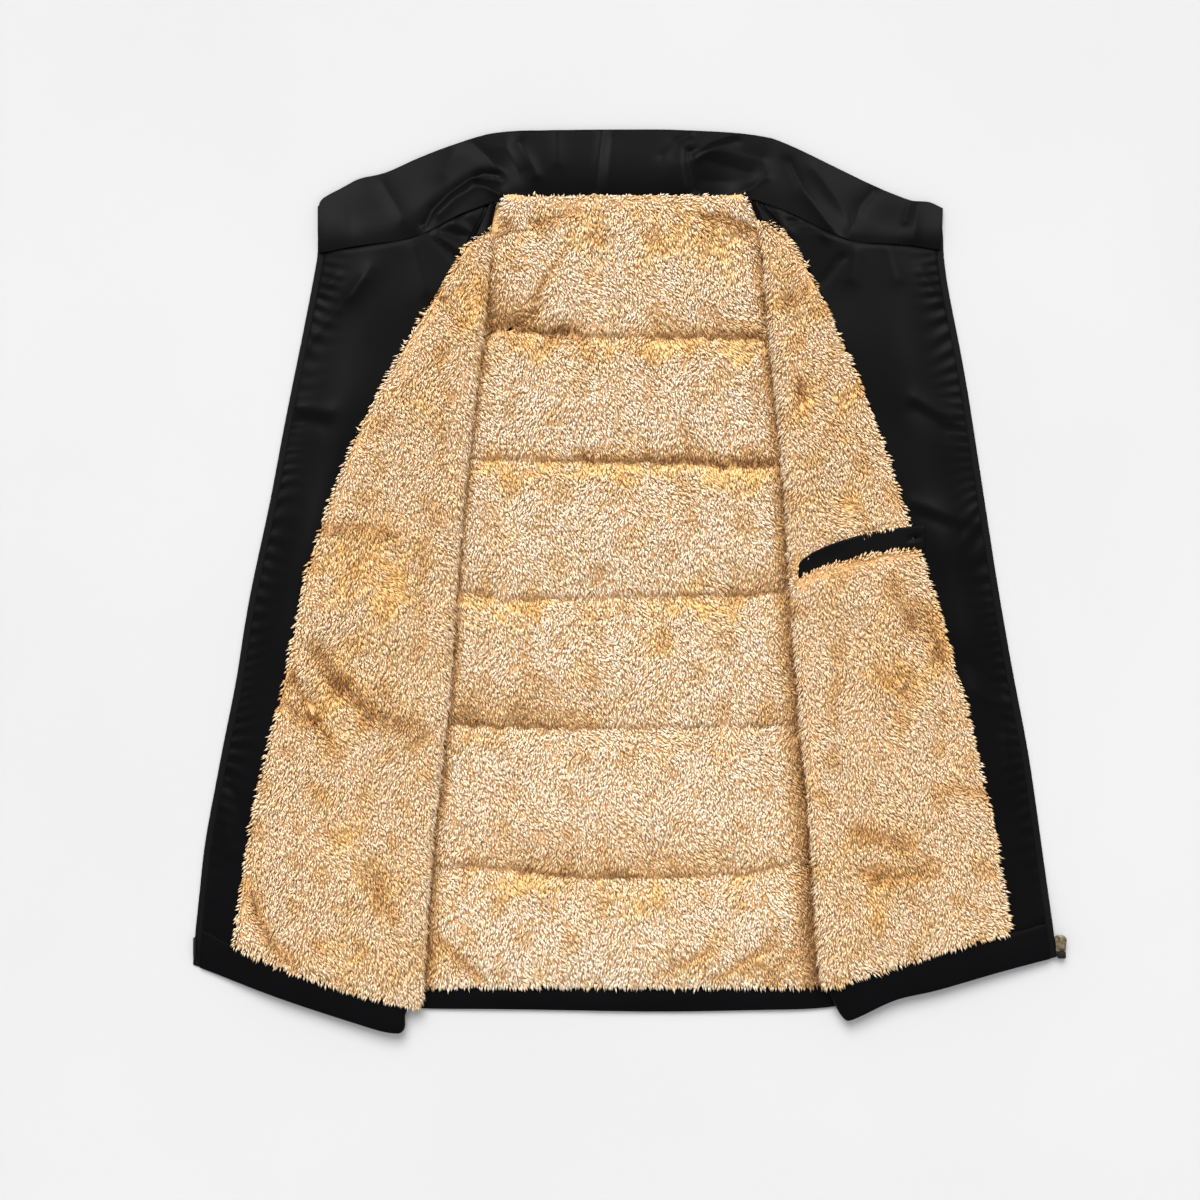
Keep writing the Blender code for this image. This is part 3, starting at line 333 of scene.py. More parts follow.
FLAP_CREASES = [Crease(*row) for row in [
    (5.0, -3.8, [(-273, -74), (-259, -103), (-247, -125)]),
    (9.0, -3.0, [(-250, -58), (-244, -74), (-227, -91), (-213, -105), (-189, -113)]),
    (10.0, 2.2, [(-262, -80), (-240, -104), (-222, -118)]),
    (5.0, -2.8, [(-177, -132), (-165, -122)]),
    (4.0, -3.8, [(-312, -245), (-306, -268), (-292, -293), (-274, -308)]),
    (5.0, -2.2, [(-262, 42), (-225, 47), (-190, 38)]),
    (4.0, -2.4, [(-160, 240), (-148, 232)]),
    (7.0, -2.0, [(-205, -235), (-203, -262)]),
    (5.0, -2.4, [(-285, -90), (-268, -112)]),
    (4.0, -2.8, [(137, 165), (139, 142)]),
    (7.0, -2.4, [(184, -200), (206, -208), (226, -214)]),
    (7.0, -2.0, [(242, -24), (252, -60)]),
    (6.0, -2.2, [(188, -232), (212, -240), (234, -234)]),
    (5.0, -2.6, [(152, 246), (140, 236), (126, 230)]),
    (6.0, -1.8, [(200, -72), (226, -92)]),
    (5.0, -1.8, [(262, -166), (290, -172)]),
    (7.0, -2.0, [(214, -2), (230, -34)]),
]]
GoldenPatch = namedtuple("GoldenPatch", "x y wide high strength")
GOLDEN_PATCHES = [GoldenPatch(*row) for row in [  # where the pile lies pressed flat
    (-40, 281, 24, 13, 0.8),
    (58, 278, 42, 22, 0.9),
    (0, 302, 70, 8, 0.4),
    (10, -262, 32, 12, 0.6),
    (-85, -247, 28, 8, 0.6),
    (26, -48, 14, 11, 0.8),
    (66, -20, 28, 10, 0.5),
    (-118, -30, 24, 14, 0.45),
    (-160, -302, 12, 22, 0.7),
    (14, -146, 18, 12, 0.35),
    (-100, 85, 30, 14, 0.45),
    (-70, 187, 42, 8, 0.5),
    (100, -310, 30, 14, 0.5),
    (36, -308, 24, 10, 0.4),
    (-136, 235, 18, 40, 0.65),
    (-192, 150, 11, 9, 0.6),
    (-172, 148, 9, 12, 0.5),
    (-212, 20, 36, 27, 0.85),
    (-200, -10, 28, 12, 0.7),
    (-236, -92, 32, 26, 0.8),
    (-200, -50, 15, 13, 0.5),
    (-268, -105, 15, 13, 0.5),
    (-245, -176, 13, 9, 0.6),
    (-233, -202, 15, 11, 0.6),
    (-214, -222, 11, 9, 0.5),
    (-204, -250, 15, 17, 0.6),
    (-225, -305, 32, 15, 0.6),
    (138, 226, 15, 15, 0.8),
    (140, 150, 7, 15, 0.7),
    (168, 150, 17, 15, 0.6),
    (172, 120, 13, 13, 0.5),
    (176, 64, 17, 19, 0.85),
    (216, -74, 23, 19, 0.8),
    (250, -42, 12, 25, 0.7),
    (206, -206, 25, 11, 0.6),
    (208, -237, 29, 10, 0.95),
    (198, -258, 11, 15, 0.7),
    (278, -170, 15, 9, 0.4),
]]


# ---- small helpers ----
def linear(red, green, blue):
    """A colour given as 0 to 255 on a screen, as the shaders take it."""
    shares = [c / 255 for c in (red, green, blue)]
    return tuple(s / 12.92 if s <= 0.04045 else ((s + 0.055) / 1.055) ** 2.4 for s in shares)


def smooth(share):
    """0 below 0, 1 above 1, with level ends, for each number of an array."""
    share = np.clip(share, 0.0, 1.0)
    return share * share * (3 - 2 * share)


def unit(vectors):
    return vectors / np.maximum(np.linalg.norm(vectors, axis=1), 1e-12)[:, None]


def swell(points, size, seed):
    """Soft unevenness between about -1 and 1 over points in mm: 14 waves, with hills of about that size."""
    draw = np.random.default_rng(seed)
    total = np.zeros(len(points))
    for _ in range(14):
        way = draw.normal(size=points.shape[1])
        way *= draw.uniform(0.7, 1.5) / np.linalg.norm(way) / (2 * size)
        total += np.sin(2 * math.pi * (points @ way) + draw.uniform(0, 2 * math.pi))
    return total / 3.7


def wave(points, kind):
    """Unevenness of one kind, in that kind's own unit."""
    return kind.strength * swell(points, kind.size, kind.seed)


def upper_share(normals):
    """Which of these normals belong to an upper side: 0 to 1."""
    return smooth((normals[:, 2] - 0.25) / 0.4)


def line_distance(points, line):
    """How far each point on the ground lies from a line of points."""
    nearest = np.full(len(points), 1e9)
    for start, end in zip(np.array(line[:-1], float), np.array(line[1:], float)):
        run = end - start
        share = np.clip((points - start) @ run / (run @ run), 0, 1)
        nearest = np.minimum(nearest, np.linalg.norm(points - start - share[:, None] * run, axis=1))
    return nearest


def relief(creases, points):
    """What the creases add to the height at points on the ground, all in millimetres: sharper along their line."""
    total = np.zeros(len(points))
    for crease in creases:
        total += crease.height * np.exp(-((line_distance(points, crease.line) / crease.width) ** CREASE_POWER))
    return total


def nudged(points, nudges):
    """Points with their outline shifted by the nudges."""
    moved = points.copy()
    for nudge in nudges:
        away = np.hypot(points[:, 0] / MM - nudge.x, points[:, 1] / MM - nudge.y)
        share = np.exp(-((away / nudge.reach) ** 2)) * MM
        moved[:, 0] += nudge.right * share
        moved[:, 1] += nudge.up * share
    return moved


def select_only(piece):
    bpy.ops.object.select_all(action="DESELECT")
    piece.select_set(True)
    bpy.context.view_layer.objects.active = piece


def read_points(mesh):
    points = np.empty(len(mesh.vertices) * 3)
    mesh.vertices.foreach_get("co", points)
    return points.reshape(-1, 3)


def read_normals(mesh):
    normals = np.empty(len(mesh.vertices) * 3)
    mesh.vertices.foreach_get("normal", normals)
    return normals.reshape(-1, 3)


def write_points(mesh, points):
    mesh.vertices.foreach_set("co", points.ravel())
    mesh.update()


def new_piece(name, points, faces, material):
    mesh = bpy.data.meshes.new(name)
    mesh.from_pydata(points, [], faces)
    mesh.materials.append(material)
    mesh.shade_smooth()
    piece = bpy.data.objects.new(name, mesh)
    bpy.context.scene.collection.objects.link(piece)
    return piece


Solid = namedtuple("Solid", "points faces normals tree")


def solid_of(node):
    """A CAD node as arrays, its doubles merged, with a tree for casting rays at it."""
    form = bmesh.new()
    form.from_mesh(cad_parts[node].data)
    bmesh.ops.remove_doubles(form, verts=form.verts, dist=WELD)
    bmesh.ops.triangulate(form, faces=form.faces)
    form.normal_update()
    points = np.array([v.co for v in form.verts])
    normals = np.array([v.normal for v in form.verts])
    faces = np.array([[v.index for v in f.verts] for f in form.faces])
    tree = BVHTree.FromBMesh(form)
    form.free()
    return Solid(points, faces, normals, tree)


def surface_of(piece):
    """A finished piece as a solid of arrays, with a tree for casting rays at it."""
    mesh = piece.data
    mesh.calc_loop_triangles()
    faces = np.empty(len(mesh.loop_triangles) * 3, np.int32)
    mesh.loop_triangles.foreach_get("vertices", faces)
    points, faces = read_points(mesh), faces.reshape(-1, 3)
    return Solid(points, faces, read_normals(mesh), BVHTree.FromPolygons(points.tolist(), faces.tolist()))


def tree_of(solids):
    """One tree of several solids."""
    points, faces, start = [], [], 0
    for solid in solids:
        points.append(solid.points)
        faces.append(solid.faces + start)
        start += len(solid.points)
    return BVHTree.FromPolygons(np.concatenate(points).tolist(), np.concatenate(faces).tolist())


# ---- shader parts that several materials share ----
def group(name, inputs, outputs):
    """An empty node group with named sockets; returns it with its input and output nodes."""
    tree = bpy.data.node_groups.new(name, "ShaderNodeTree")
    for socket, kind, value in inputs:
        made = tree.interface.new_socket(name=socket, in_out="INPUT", socket_type=kind)
        if value is not None:
            made.default_value = value
    for socket, kind in outputs:
        tree.interface.new_socket(name=socket, in_out="OUTPUT", socket_type=kind)
    return tree, tree.nodes.new("NodeGroupInput"), tree.nodes.new("NodeGroupOutput")


def add(tree, kind, links=(), **settings):
    """A new node. links gives the output that feeds each named or numbered input, or the input's value."""
    made = tree.nodes.new(kind)
    for key, value in settings.items():
        setattr(made, key, value)
    for key, source in dict(links).items():
        if isinstance(source, bpy.types.NodeSocket):
            tree.links.new(source, made.inputs[key])
        else:
            made.inputs[key].default_value = source
    return made


def weave_group():
    """Twill: fine slanting ribs, crossed by threads, with the unevenness of woven yarn."""
    tree, given, out = group(
        "Twill weave",
        [("Vector", "NodeSocketVector", None), ("Ribs per metre", "NodeSocketFloat", 1600.0)],
        [("Height", "NodeSocketFloat"), ("Tone", "NodeSocketFloat")],
    )
    ribs = add(
        tree,
        "ShaderNodeTexWave",
        {"Vector": given.outputs["Vector"], "Distortion": 0.6, "Detail": 1.0},
        bands_direction="DIAGONAL",
    )
    scale = add(tree, "ShaderNodeMath", {0: given.outputs["Ribs per metre"], 1: 0.16}, operation="MULTIPLY")
    tree.links.new(scale.outputs[0], ribs.inputs["Scale"])
    yarn = add(tree, "ShaderNodeTexNoise", {"Vector": given.outputs["Vector"], "Detail": 2.0})
    tree.links.new(given.outputs["Ribs per metre"], yarn.inputs["Scale"])
    height = add(tree, "ShaderNodeMath", {0: ribs.outputs["Fac"], 1: yarn.outputs["Fac"]}, operation="ADD")
    cloudy = add(tree, "ShaderNodeTexNoise", {"Vector": given.outputs["Vector"], "Scale": 24.0, "Detail": 3.0})
    tree.links.new(height.outputs[0], out.inputs["Height"])
    tree.links.new(cloudy.outputs["Fac"], out.inputs["Tone"])
    return tree


def mottle_group():
    """Blotches between two colours, with a fine grain for the height."""
    tree, given, out = group(
        "Mottle",
        [
            ("Vector", "NodeSocketVector", None),
            ("Blotches per metre", "NodeSocketFloat", 400.0),
            ("Dark", "NodeSocketColor", (0.1, 0.1, 0.1, 1)),
            ("Light", "NodeSocketColor", (0.5, 0.5, 0.5, 1)),
        ],
        [("Color", "NodeSocketColor"), ("Share", "NodeSocketFloat")],
    )
    blotch = add(tree, "ShaderNodeTexNoise", {"Vector": given.outputs["Vector"], "Detail": 4.0})
    tree.links.new(given.outputs["Blotches per metre"], blotch.inputs["Scale"])
    share = add(tree, "ShaderNodeMapRange", {0: blotch.outputs["Fac"], 1: 0.35, 2: 0.65})
    mixed = add(tree, "ShaderNodeMix", {"Factor": share.outputs[0]}, data_type="RGBA")
    tree.links.new(given.outputs["Dark"], mixed.inputs[6])
    tree.links.new(given.outputs["Light"], mixed.inputs[7])
    tree.links.new(mixed.outputs[2], out.inputs["Color"])
    tree.links.new(share.outputs[0], out.inputs["Share"])
    return tree


WEAVE = weave_group()
MOTTLE = mottle_group()


def new_material(name):
    """A material with its tree, its Principled shader and the piece's own coordinates."""
    material = bpy.data.materials.new(name)
    material.use_nodes = True
    tree = material.node_tree
    place = tree.nodes.new("ShaderNodeTexCoord").outputs["Object"]
    return material, tree, tree.nodes["Principled BSDF"], place


def woven(name, dark, light, ribs, rough, shine, weave_depth):
    """Woven black cloth: twill ribs, a soft cloudiness in colour and roughness."""
    material, tree, shader, place = new_material(name)
    weave = add(tree, "ShaderNodeGroup", {"Vector": place, "Ribs per metre": ribs}, node_tree=WEAVE)
    tone = add(tree, "ShaderNodeMix", {"Factor": weave.outputs["Tone"]}, data_type="RGBA")
    tone.inputs[6].default_value = (*dark, 1)
    tone.inputs[7].default_value = (*light, 1)
    tree.links.new(tone.outputs[2], shader.inputs["Base Color"])
    gloss = add(tree, "ShaderNodeMapRange", {0: weave.outputs["Tone"], 3: rough[0], 4: rough[1]})
    tree.links.new(gloss.outputs[0], shader.inputs["Roughness"])
    bump = add(tree, "ShaderNodeBump", {"Height": weave.outputs["Height"], "Strength": 0.35})
    bump.inputs["Distance"].default_value = weave_depth
    tree.links.new(bump.outputs[0], shader.inputs["Normal"])
    shader.inputs["Specular IOR Level"].default_value = shine
    return material


def pile_material():
    """Pile coloured by two numbers of each tuft: from dark to light along it, the dark end being painted shade, and
    from golden to cream.
    """
    material, tree, shader, _ = new_material("sherpa pile")
    at = add(tree, "ShaderNodeSeparateXYZ", {0: add(tree, "ShaderNodeUVMap", uv_map="OFBake").outputs[0]})
    ramps = []
    for stops in (GOLDEN_PILE, CREAM_PILE):
        ramp = add(tree, "ShaderNodeValToRGB", {0: at.outputs[0]})
        ramp.color_ramp.elements[0].position = stops[0][0]
        ramp.color_ramp.elements[0].color = (*linear(*stops[0][1]), 1)
        ramp.color_ramp.elements[1].position = stops[-1][0]
        ramp.color_ramp.elements[1].color = (*linear(*stops[-1][1]), 1)
        for share, colour in stops[1:-1]:
            ramp.color_ramp.elements.new(share).color = (*linear(*colour), 1)
        ramps.append(ramp)
    mixed = add(tree, "ShaderNodeMix", {"Factor": at.outputs[1]}, data_type="RGBA")
    tree.links.new(ramps[0].outputs[0], mixed.inputs[6])
    tree.links.new(ramps[1].outputs[0], mixed.inputs[7])
    tree.links.new(mixed.outputs[2], shader.inputs["Base Color"])
    shader.inputs["Roughness"].default_value = 0.62
    shader.inputs["Specular IOR Level"].default_value = 0.14
    shader.inputs["Sheen Weight"].default_value = 0.05
    return material


def mottle(tree, place, blotches, dark, light):
    """The mottle group in a material, with its own values."""
    links = {"Vector": place, "Blotches per metre": blotches, "Dark": (*dark, 1), "Light": (*light, 1)}
    return add(tree, "ShaderNodeGroup", links, node_tree=MOTTLE)


def ground_material():
    """The knit that the pile grows from, seen only between tufts."""
    material, tree, shader, place = new_material("pile ground")
    dark, light = (linear(*colour) for colour in KNIT_COLOURS)
    knit = mottle(tree, place, 700.0, dark, light)
    tree.links.new(knit.outputs["Color"], shader.inputs["Base Color"])
    bump = add(tree, "ShaderNodeBump", {"Height": knit.outputs["Share"], "Strength": 0.6})
    bump.inputs["Distance"].default_value = 0.4 * MM
    tree.links.new(bump.outputs[0], shader.inputs["Normal"])
    shader.inputs["Roughness"].default_value = 0.9
    return material


def mottled(name, dark, light, blotches, rough, metal, grain):
    """Metal or plastic with worn, uneven colour and gloss."""
    material, tree, shader, place = new_material(name)
    wear = mottle(tree, place, blotches, dark, light)
    tree.links.new(wear.outputs["Color"], shader.inputs["Base Color"])
    gloss = add(tree, "ShaderNodeMapRange", {0: wear.outputs["Share"], 3: rough[0], 4: rough[1]})
    tree.links.new(gloss.outputs[0], shader.inputs["Roughness"])
    bump = add(tree, "ShaderNodeBump", {"Height": wear.outputs["Share"], "Strength": 0.3})
    bump.inputs["Distance"].default_value = grain
    tree.links.new(bump.outputs[0], shader.inputs["Normal"])
    shader.inputs["Metallic"].default_value = metal
    shader.inputs["Specular IOR Level"].default_value = 0.5 if metal else 0.15
    return material


POLYESTER = woven(
    "black polyester", (0.0005, 0.0005, 0.0007), (0.0012, 0.0012, 0.0016), 1700.0, (0.38, 0.5), 0.045, 0.07 * MM
)
OUTER_CLOTH = woven(
    "black outer cloth", (0.0008, 0.0008, 0.001), (0.002, 0.002, 0.0024), 1500.0, (0.38, 0.5), 0.06, 0.08 * MM
)
TAPE_CLOTH = woven(
    "zip tape", (0.001, 0.001, 0.001), (0.003, 0.003, 0.003), 1200.0, (0.5, 0.65), 0.06, 0.1 * MM
)
THREAD = woven(
    "sewing thread", (0.001, 0.001, 0.0012), (0.003, 0.003, 0.0035), 3000.0, (0.42, 0.52), 0.06, 0.05 * MM
)
NYLON = mottled("nylon coil", (0.004, 0.004, 0.004), (0.008, 0.008, 0.008), 900.0, (0.3, 0.42), 0.0, 0.02 * MM)
PILE = pile_material()
GROUND = ground_material()
METAL = mottled("antique metal", *(linear(*c) for c in METAL_COLOURS), 260.0, (0.3, 0.48), 1.0, 0.02 * MM)
PLASTIC = mottled("black plastic", (0.003, 0.003, 0.003), (0.007, 0.007, 0.007), 800.0, (0.35, 0.5), 0.0, 0.02 * MM)


# ---- sheets of cloth ----
def cloth_from(node, name, levels, material):
    """A finer copy of a node's form: its triangles become quads, its rim is kept and slightly rounded."""
    piece = bpy.data.objects.new(name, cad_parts[node].data.copy())
    bpy.context.scene.collection.objects.link(piece)
    select_only(piece)
    bpy.ops.mesh.customdata_custom_splitnormals_clear()
    bpy.ops.object.mode_set(mode="EDIT")
    bpy.ops.mesh.select_mode(type="EDGE")
    bpy.ops.mesh.select_all(action="SELECT")
    bpy.ops.mesh.remove_doubles(threshold=WELD)
    bpy.ops.mesh.tris_convert_to_quads(
        face_threshold=math.radians(60), shape_threshold=math.radians(80), topology_influence=2.0
    )
    bpy.ops.mesh.select_all(action="DESELECT")
    bpy.ops.mesh.edges_select_sharp(sharpness=RIM_ANGLE)
    bpy.ops.transform.edge_crease(value=1.0)
    bpy.ops.object.mode_set(mode="OBJECT")
    finer = piece.modifiers.new("finer", "SUBSURF")
    finer.levels = finer.render_levels = levels
    bpy.ops.object.modifier_apply(modifier=finer.name)
    rounding = piece.modifiers.new("rounded rim", "BEVEL")
    rounding.width = RIM_ROUND
    rounding.segments = 2
    rounding.limit_method = "ANGLE"
    rounding.angle_limit = RIM_ANGLE
    bpy.ops.object.modifier_apply(modifier=rounding.name)
    piece.data.materials.clear()
    piece.data.materials.append(material)
    piece.data.shade_smooth()
    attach(piece, "vest")
    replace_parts(piece, node)
    return piece


def edge_line(surface, side):
    """The outermost line of a long strip on one side of the vest, from the hem up: an array of points."""
    out = side * surface.points[:, 0]
    bins = np.floor(surface.points[:, 1] / EDGE_STEP).astype(int)
    line = []
    for k in np.unique(bins):
        inside = bins == k
        rim = inside & (out > out[inside].max() - EDGE_BAND)
        line.append(surface.points[rim].mean(axis=0))
    return np.array(line)


def cut(piece, place, way):
    """Cuts off what lies beyond a plane, and closes the cut."""
    select_only(piece)
    bpy.ops.object.mode_set(mode="EDIT")
    bpy.ops.mesh.select_all(action="SELECT")
    bpy.ops.mesh.bisect(plane_co=place, plane_no=way, use_fill=True, clear_outer=True)
    bpy.ops.object.mode_set(mode="OBJECT")


def tuck_under(piece, over):
    """Draws a sheet's edge under its neighbour, so that their seam shows as one dark line."""
    tree = surface_of(over).tree
    points = read_points(piece.data)
    for k, point in enumerate(points.tolist()):
        near, _, _, away = tree.find_nearest(point, TUCK_REACH)
        if near is not None:
            share = 1 - away / TUCK_REACH
            towards = (near - Vector(point)) * Vector((1, 1, 0))
            points[k] += share * np.array(TUCK_PUSH * towards.normalized() + Vector((0, 0, -TUCK_DROP)))
    write_points(piece.data, points)


def raise_top(piece, rise_mm):
    """Lifts or lowers a sheet's upper side by rise_mm(points on the ground in mm)."""
    points, normals = read_points(piece.data), read_normals(piece.data)
    points[:, 2] += upper_share(normals) * rise_mm(points[:, :2] / MM) * MM
    write_points(piece.data, points)


def cloth_rise(creases, edges):
    """The rise of black cloth: its creases, soft lumps, and puckers along the zip edges."""

    def rise(ground):
        total = relief(creases, ground) + wave(ground, CLOTH_LUMPS)
        for edge in edges:
            from_edge = np.abs(np.interp(ground[:, 1], edge[:, 1] / MM, edge[:, 0] / MM) - ground[:, 0])
            beat = ground[:, 1] / PUCKER_PITCH_MM + wave(ground, PUCKER_DRIFT)
            rise_mm = PUCKER_RISE_MM * (PUCKER_MEAN + wave(ground, PUCKER_FADE))
            total += rise_mm * np.sin(2 * math.pi * beat) * np.exp(-((from_edge / PUCKER_DEPTH_MM) ** 2))
        return total

    return rise


# ---- things that repeat: one form, copied along short curves ----
def template(sides, rings):
    """A closed rod of length 1 along z, as arrays: rings are (place along it, radius), and radius 0 is a point."""
    bpy.ops.object.select_all(action="DESELECT")
    bpy.ops.mesh.primitive_cylinder_add(vertices=sides, radius=1.0, depth=1.0)
    rod = bpy.context.object
    bpy.ops.object.mode_set(mode="EDIT")
    for place, _ in rings[1:-1]:
        bpy.ops.mesh.select_all(action="SELECT")
        bpy.ops.mesh.bisect(plane_co=(0, 0, place - 0.5), plane_no=(0, 0, 1))
    bpy.ops.object.mode_set(mode="OBJECT")
    points = read_points(rod.data)
    points[:, 2] += 0.5
    for place, radius in rings:
        points[np.abs(points[:, 2] - place) < 1e-4, :2] *= radius
    write_points(rod.data, points)
    bpy.ops.object.mode_set(mode="EDIT")
    bpy.ops.mesh.select_all(action="SELECT")
    bpy.ops.mesh.remove_doubles(threshold=0.0001)
    bpy.ops.mesh.quads_convert_to_tris()
    bpy.ops.object.mode_set(mode="OBJECT")
    points = read_points(rod.data)
    faces = np.array([face.vertices[:] for face in rod.data.polygons])
    bpy.data.objects.remove(rod)
    return points, faces


def copies(name, form, start, middle, end, across, width, flatness, material, looks=None):
    """One joined mesh of the form's copies, each bent along the curve start, middle, end.

    looks gives each copy's place in its material's two ramps: at its start, at its end, and across.
    """
    points, faces = form
    share = points[:, 2][None, :, None]
    a, m, e = start[:, None, :], middle[:, None, :], end[:, None, :]
    spine = (1 - share) ** 2 * a + 2 * share * (1 - share) * m + share**2 * e
    tangent = unit((2 * (1 - share) * (m - a) + 2 * share * (e - m)).reshape(-1, 3)).reshape(spine.shape)
    wide = np.broadcast_to(across[:, None, :], spine.shape)
    thick = np.cross(tangent, wide)
    size = width[:, None, None]
    beside, above = points[:, 0][None, :, None], points[:, 1][None, :, None]
    all_points = spine + size * (wide * beside + flatness * thick * above)
    all_faces = (faces[None] + (np.arange(len(start)) * len(points))[:, None, None]).reshape(-1, 3)
    piece = new_piece(name, all_points.reshape(-1, 3), all_faces, material)
    if looks is not None:
        layer = piece.data.uv_layers.new(name="OFBake")
        corners = np.empty(len(piece.data.loops), np.int32)
        piece.data.loops.foreach_get("vertex_index", corners)
        along = np.clip(points[:, 2], 0, 1)[corners % len(points)]
        beside = points[:, 0][corners % len(points)] * 0.01
        first, last, hue = looks[corners // len(points)].T
        uv = np.stack([first + (last - first) * along, hue + beside], axis=1)
        layer.data.foreach_set("uv", np.clip(uv, 0.01, 0.99).ravel())
    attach(piece, "vest")
    return piece


TUFT = template(3, [(0.0, 0.0), (0.48, 0.5), (1.0, 0.0)])
STITCH = template(5, [(0.0, 0.16), (0.22, 0.5), (0.78, 0.5), (1.0, 0.16)])
COIL_TURN = template(4, [(0.0, 0.4), (0.3, 0.5), (0.7, 0.5), (1.0, 0.4)])


# ---- pile ----
def scattered(surface, spacing, seed):
    """Points spread over a surface, at most one to a cell, with their normals."""
    draw = np.random.default_rng(seed)
    a, b, c = (surface.points[surface.faces[:, k]] for k in range(3))
    area = np.linalg.norm(np.cross(b - a, c - a), axis=1) / 2
    count = int(DRAWS_PER_CELL * area.sum() / spacing**2)
    pick = draw.choice(len(area), count, p=area / area.sum())
    u, v = draw.random((2, count))
    over = u + v > 1
    u[over], v[over] = 1 - u[over], 1 - v[over]
    shares = np.stack([1 - u - v, u, v], axis=1)[:, :, None]
    points = (shares * surface.points[surface.faces[pick]]).sum(axis=1)
    normals = unit((shares * surface.normals[surface.faces[pick]]).sum(axis=1))
    _, kept = np.unique(np.floor(points / spacing).astype(int), axis=0, return_index=True)
    kept.sort()
    return points[kept], normals[kept]


def ray_lengths(tree, starts, ways, reach):
    """How far each ray runs before it meets the tree, reach where it meets nothing."""
    found = np.full(len(starts), reach)
    for k, (start, way) in enumerate(zip(starts.tolist(), ways.tolist())):
        hit = tree.ray_cast(start, way, reach)
        if hit[0] is not None:
            found[k] = hit[3]
    return found


def sunk(tree, points, normals):
    """How deep the knit ground lies under each point of a lining's surface."""
    depth = ray_lengths(tree, points - 0.05 * MM * normals, -normals, THICKEST)
    return np.minimum(GROUND_SHARE * depth, GROUND_MOST) * smooth((normals[:, 2] + 0.6) / 0.6)


def above_channel(ground, channel):
    """How far points on the ground lie above a quilting seam, in millimetres; under 0 is below it."""
    x, y = np.array(channel.line, float).T
    along = ground[:, :1] + 37 * y[0]  # so that no two seams waver alike
    return ground[:, 1] - np.interp(ground[:, 0], x, y) - wave(along, CHANNEL_WAVER)


def lining_rise(on_back):
    """What seams, folds and lumps add to a lining's height at points on the ground, in millimetres."""

    def rise(ground):
        if not on_back:
            return relief(FLAP_CREASES, ground) + wave(ground, FRONT_LUMPS)
        total = relief(BACK_CREASES, ground) + wave(ground, BACK_LUMPS)
        for channel in CHANNELS:
            off = above_channel(ground, channel) + CHANNEL_DROP_MM
            width = np.where(off > 0, CHANNEL_STEEP_MM, CHANNEL_GENTLE_MM)
            total -= CHANNEL_DEPTH_MM * np.exp(-((off / width) ** 2))
        return total

    return rise


def channel_looks(ground, channel):
    """How golden the pile is below a quilting seam, and how much painted shade it has above it, along the seam."""
    x, golden, dark = np.array(channel.looks, float).T
    return np.interp(ground[:, 0], x, golden), np.interp(ground[:, 0], x, dark)


def flatness_at(ground, on_back):
    """Share, 0 to 1, of pressed flat golden pile at points on the ground in millimetres."""
    total = np.zeros(len(ground))
    for patch in GOLDEN_PATCHES:
        away = ((ground[:, 0] - patch.x) / patch.wide) ** 2 + ((ground[:, 1] - patch.y) / patch.high) ** 2
        total += PATCH_STRENGTH * patch.strength * np.exp(-(away**PATCH_POWER))
    if on_back:
        for channel in CHANNELS:
            below = -above_channel(ground, channel)
            reach = GOLDEN_REACH_MM + wave(ground, GOLDEN_EDGE)
            fading = smooth((below - 0.3 * reach) / (0.8 * reach))
            total += channel_looks(ground, channel)[0] * smooth((below + 1) / 4) * (1 - fading)
    total *= 1 + wave(ground, PATCH_GRAIN)
    total += wave(ground, GOLDEN_CLOUDS) + wave(ground, GOLDEN_SPECKS) + (0 if on_back else FRONT_GOLDEN)
    return np.clip(total, 0, 1)


def shade_at(ground, on_back):
    """Share, 0 to 1, of shaded pile: in folds, just above the back's seams, and between its rows of knit."""
    folds = relief(BACK_CREASES if on_back else FLAP_CREASES, ground)
    clouds = swell(ground, SHADE_CLOUDS.size, SHADE_CLOUDS.seed) - 0.3
    total = np.clip(-folds / FOLD_SHADE_MM, 0, FOLD_SHADE_MOST) + SHADE_CLOUDS.strength * np.clip(clouds, 0, 1)
    total += BACK_SHADE if on_back else FRONT_SHADE
    if on_back:
        # painted shade above each seam, where the puff turns from the light, and a painted shadow close to it under
        # the pile that hangs over the channel
        for channel in CHANNELS:
            above = above_channel(ground, channel)
            started, above = smooth((above + 3) / 3), np.maximum(above, 0)  # from 3 mm below the seam to the seam
            lasting = SEAM_SHADE * np.exp(-((above / channel.reach) ** 2))
            close = SEAM_SHADOW * np.exp(-above / SEAM_SHADOW_MM)
            total += channel_looks(ground, channel)[1] * started * (lasting + close)
        row = np.sin(2 * math.pi * (ground[:, 1] + wave(ground, ROW_WAVER)) / ROW_PITCH_MM)
        total += ROW_SHADE * smooth((row - 0.4) / 0.5) * np.clip(0.5 + wave(ground, ROW_FADE), 0, 1)
    return np.clip(total, 0, 1)


def raised(points, normals, rise):
    """Lifts a lining's upper points by rise, in place, and returns how their normals then stand."""
    ground = points[:, :2] / MM
    share = upper_share(normals)[:, None]
    slope = np.stack([rise(ground + step) - rise(ground - step) for step in 0.5 * np.eye(2)], axis=1)
    points[:, 2] += share[:, 0] * rise(ground) * MM
    return unit(normals - np.pad(share * slope, ((0, 0), (0, 1))))


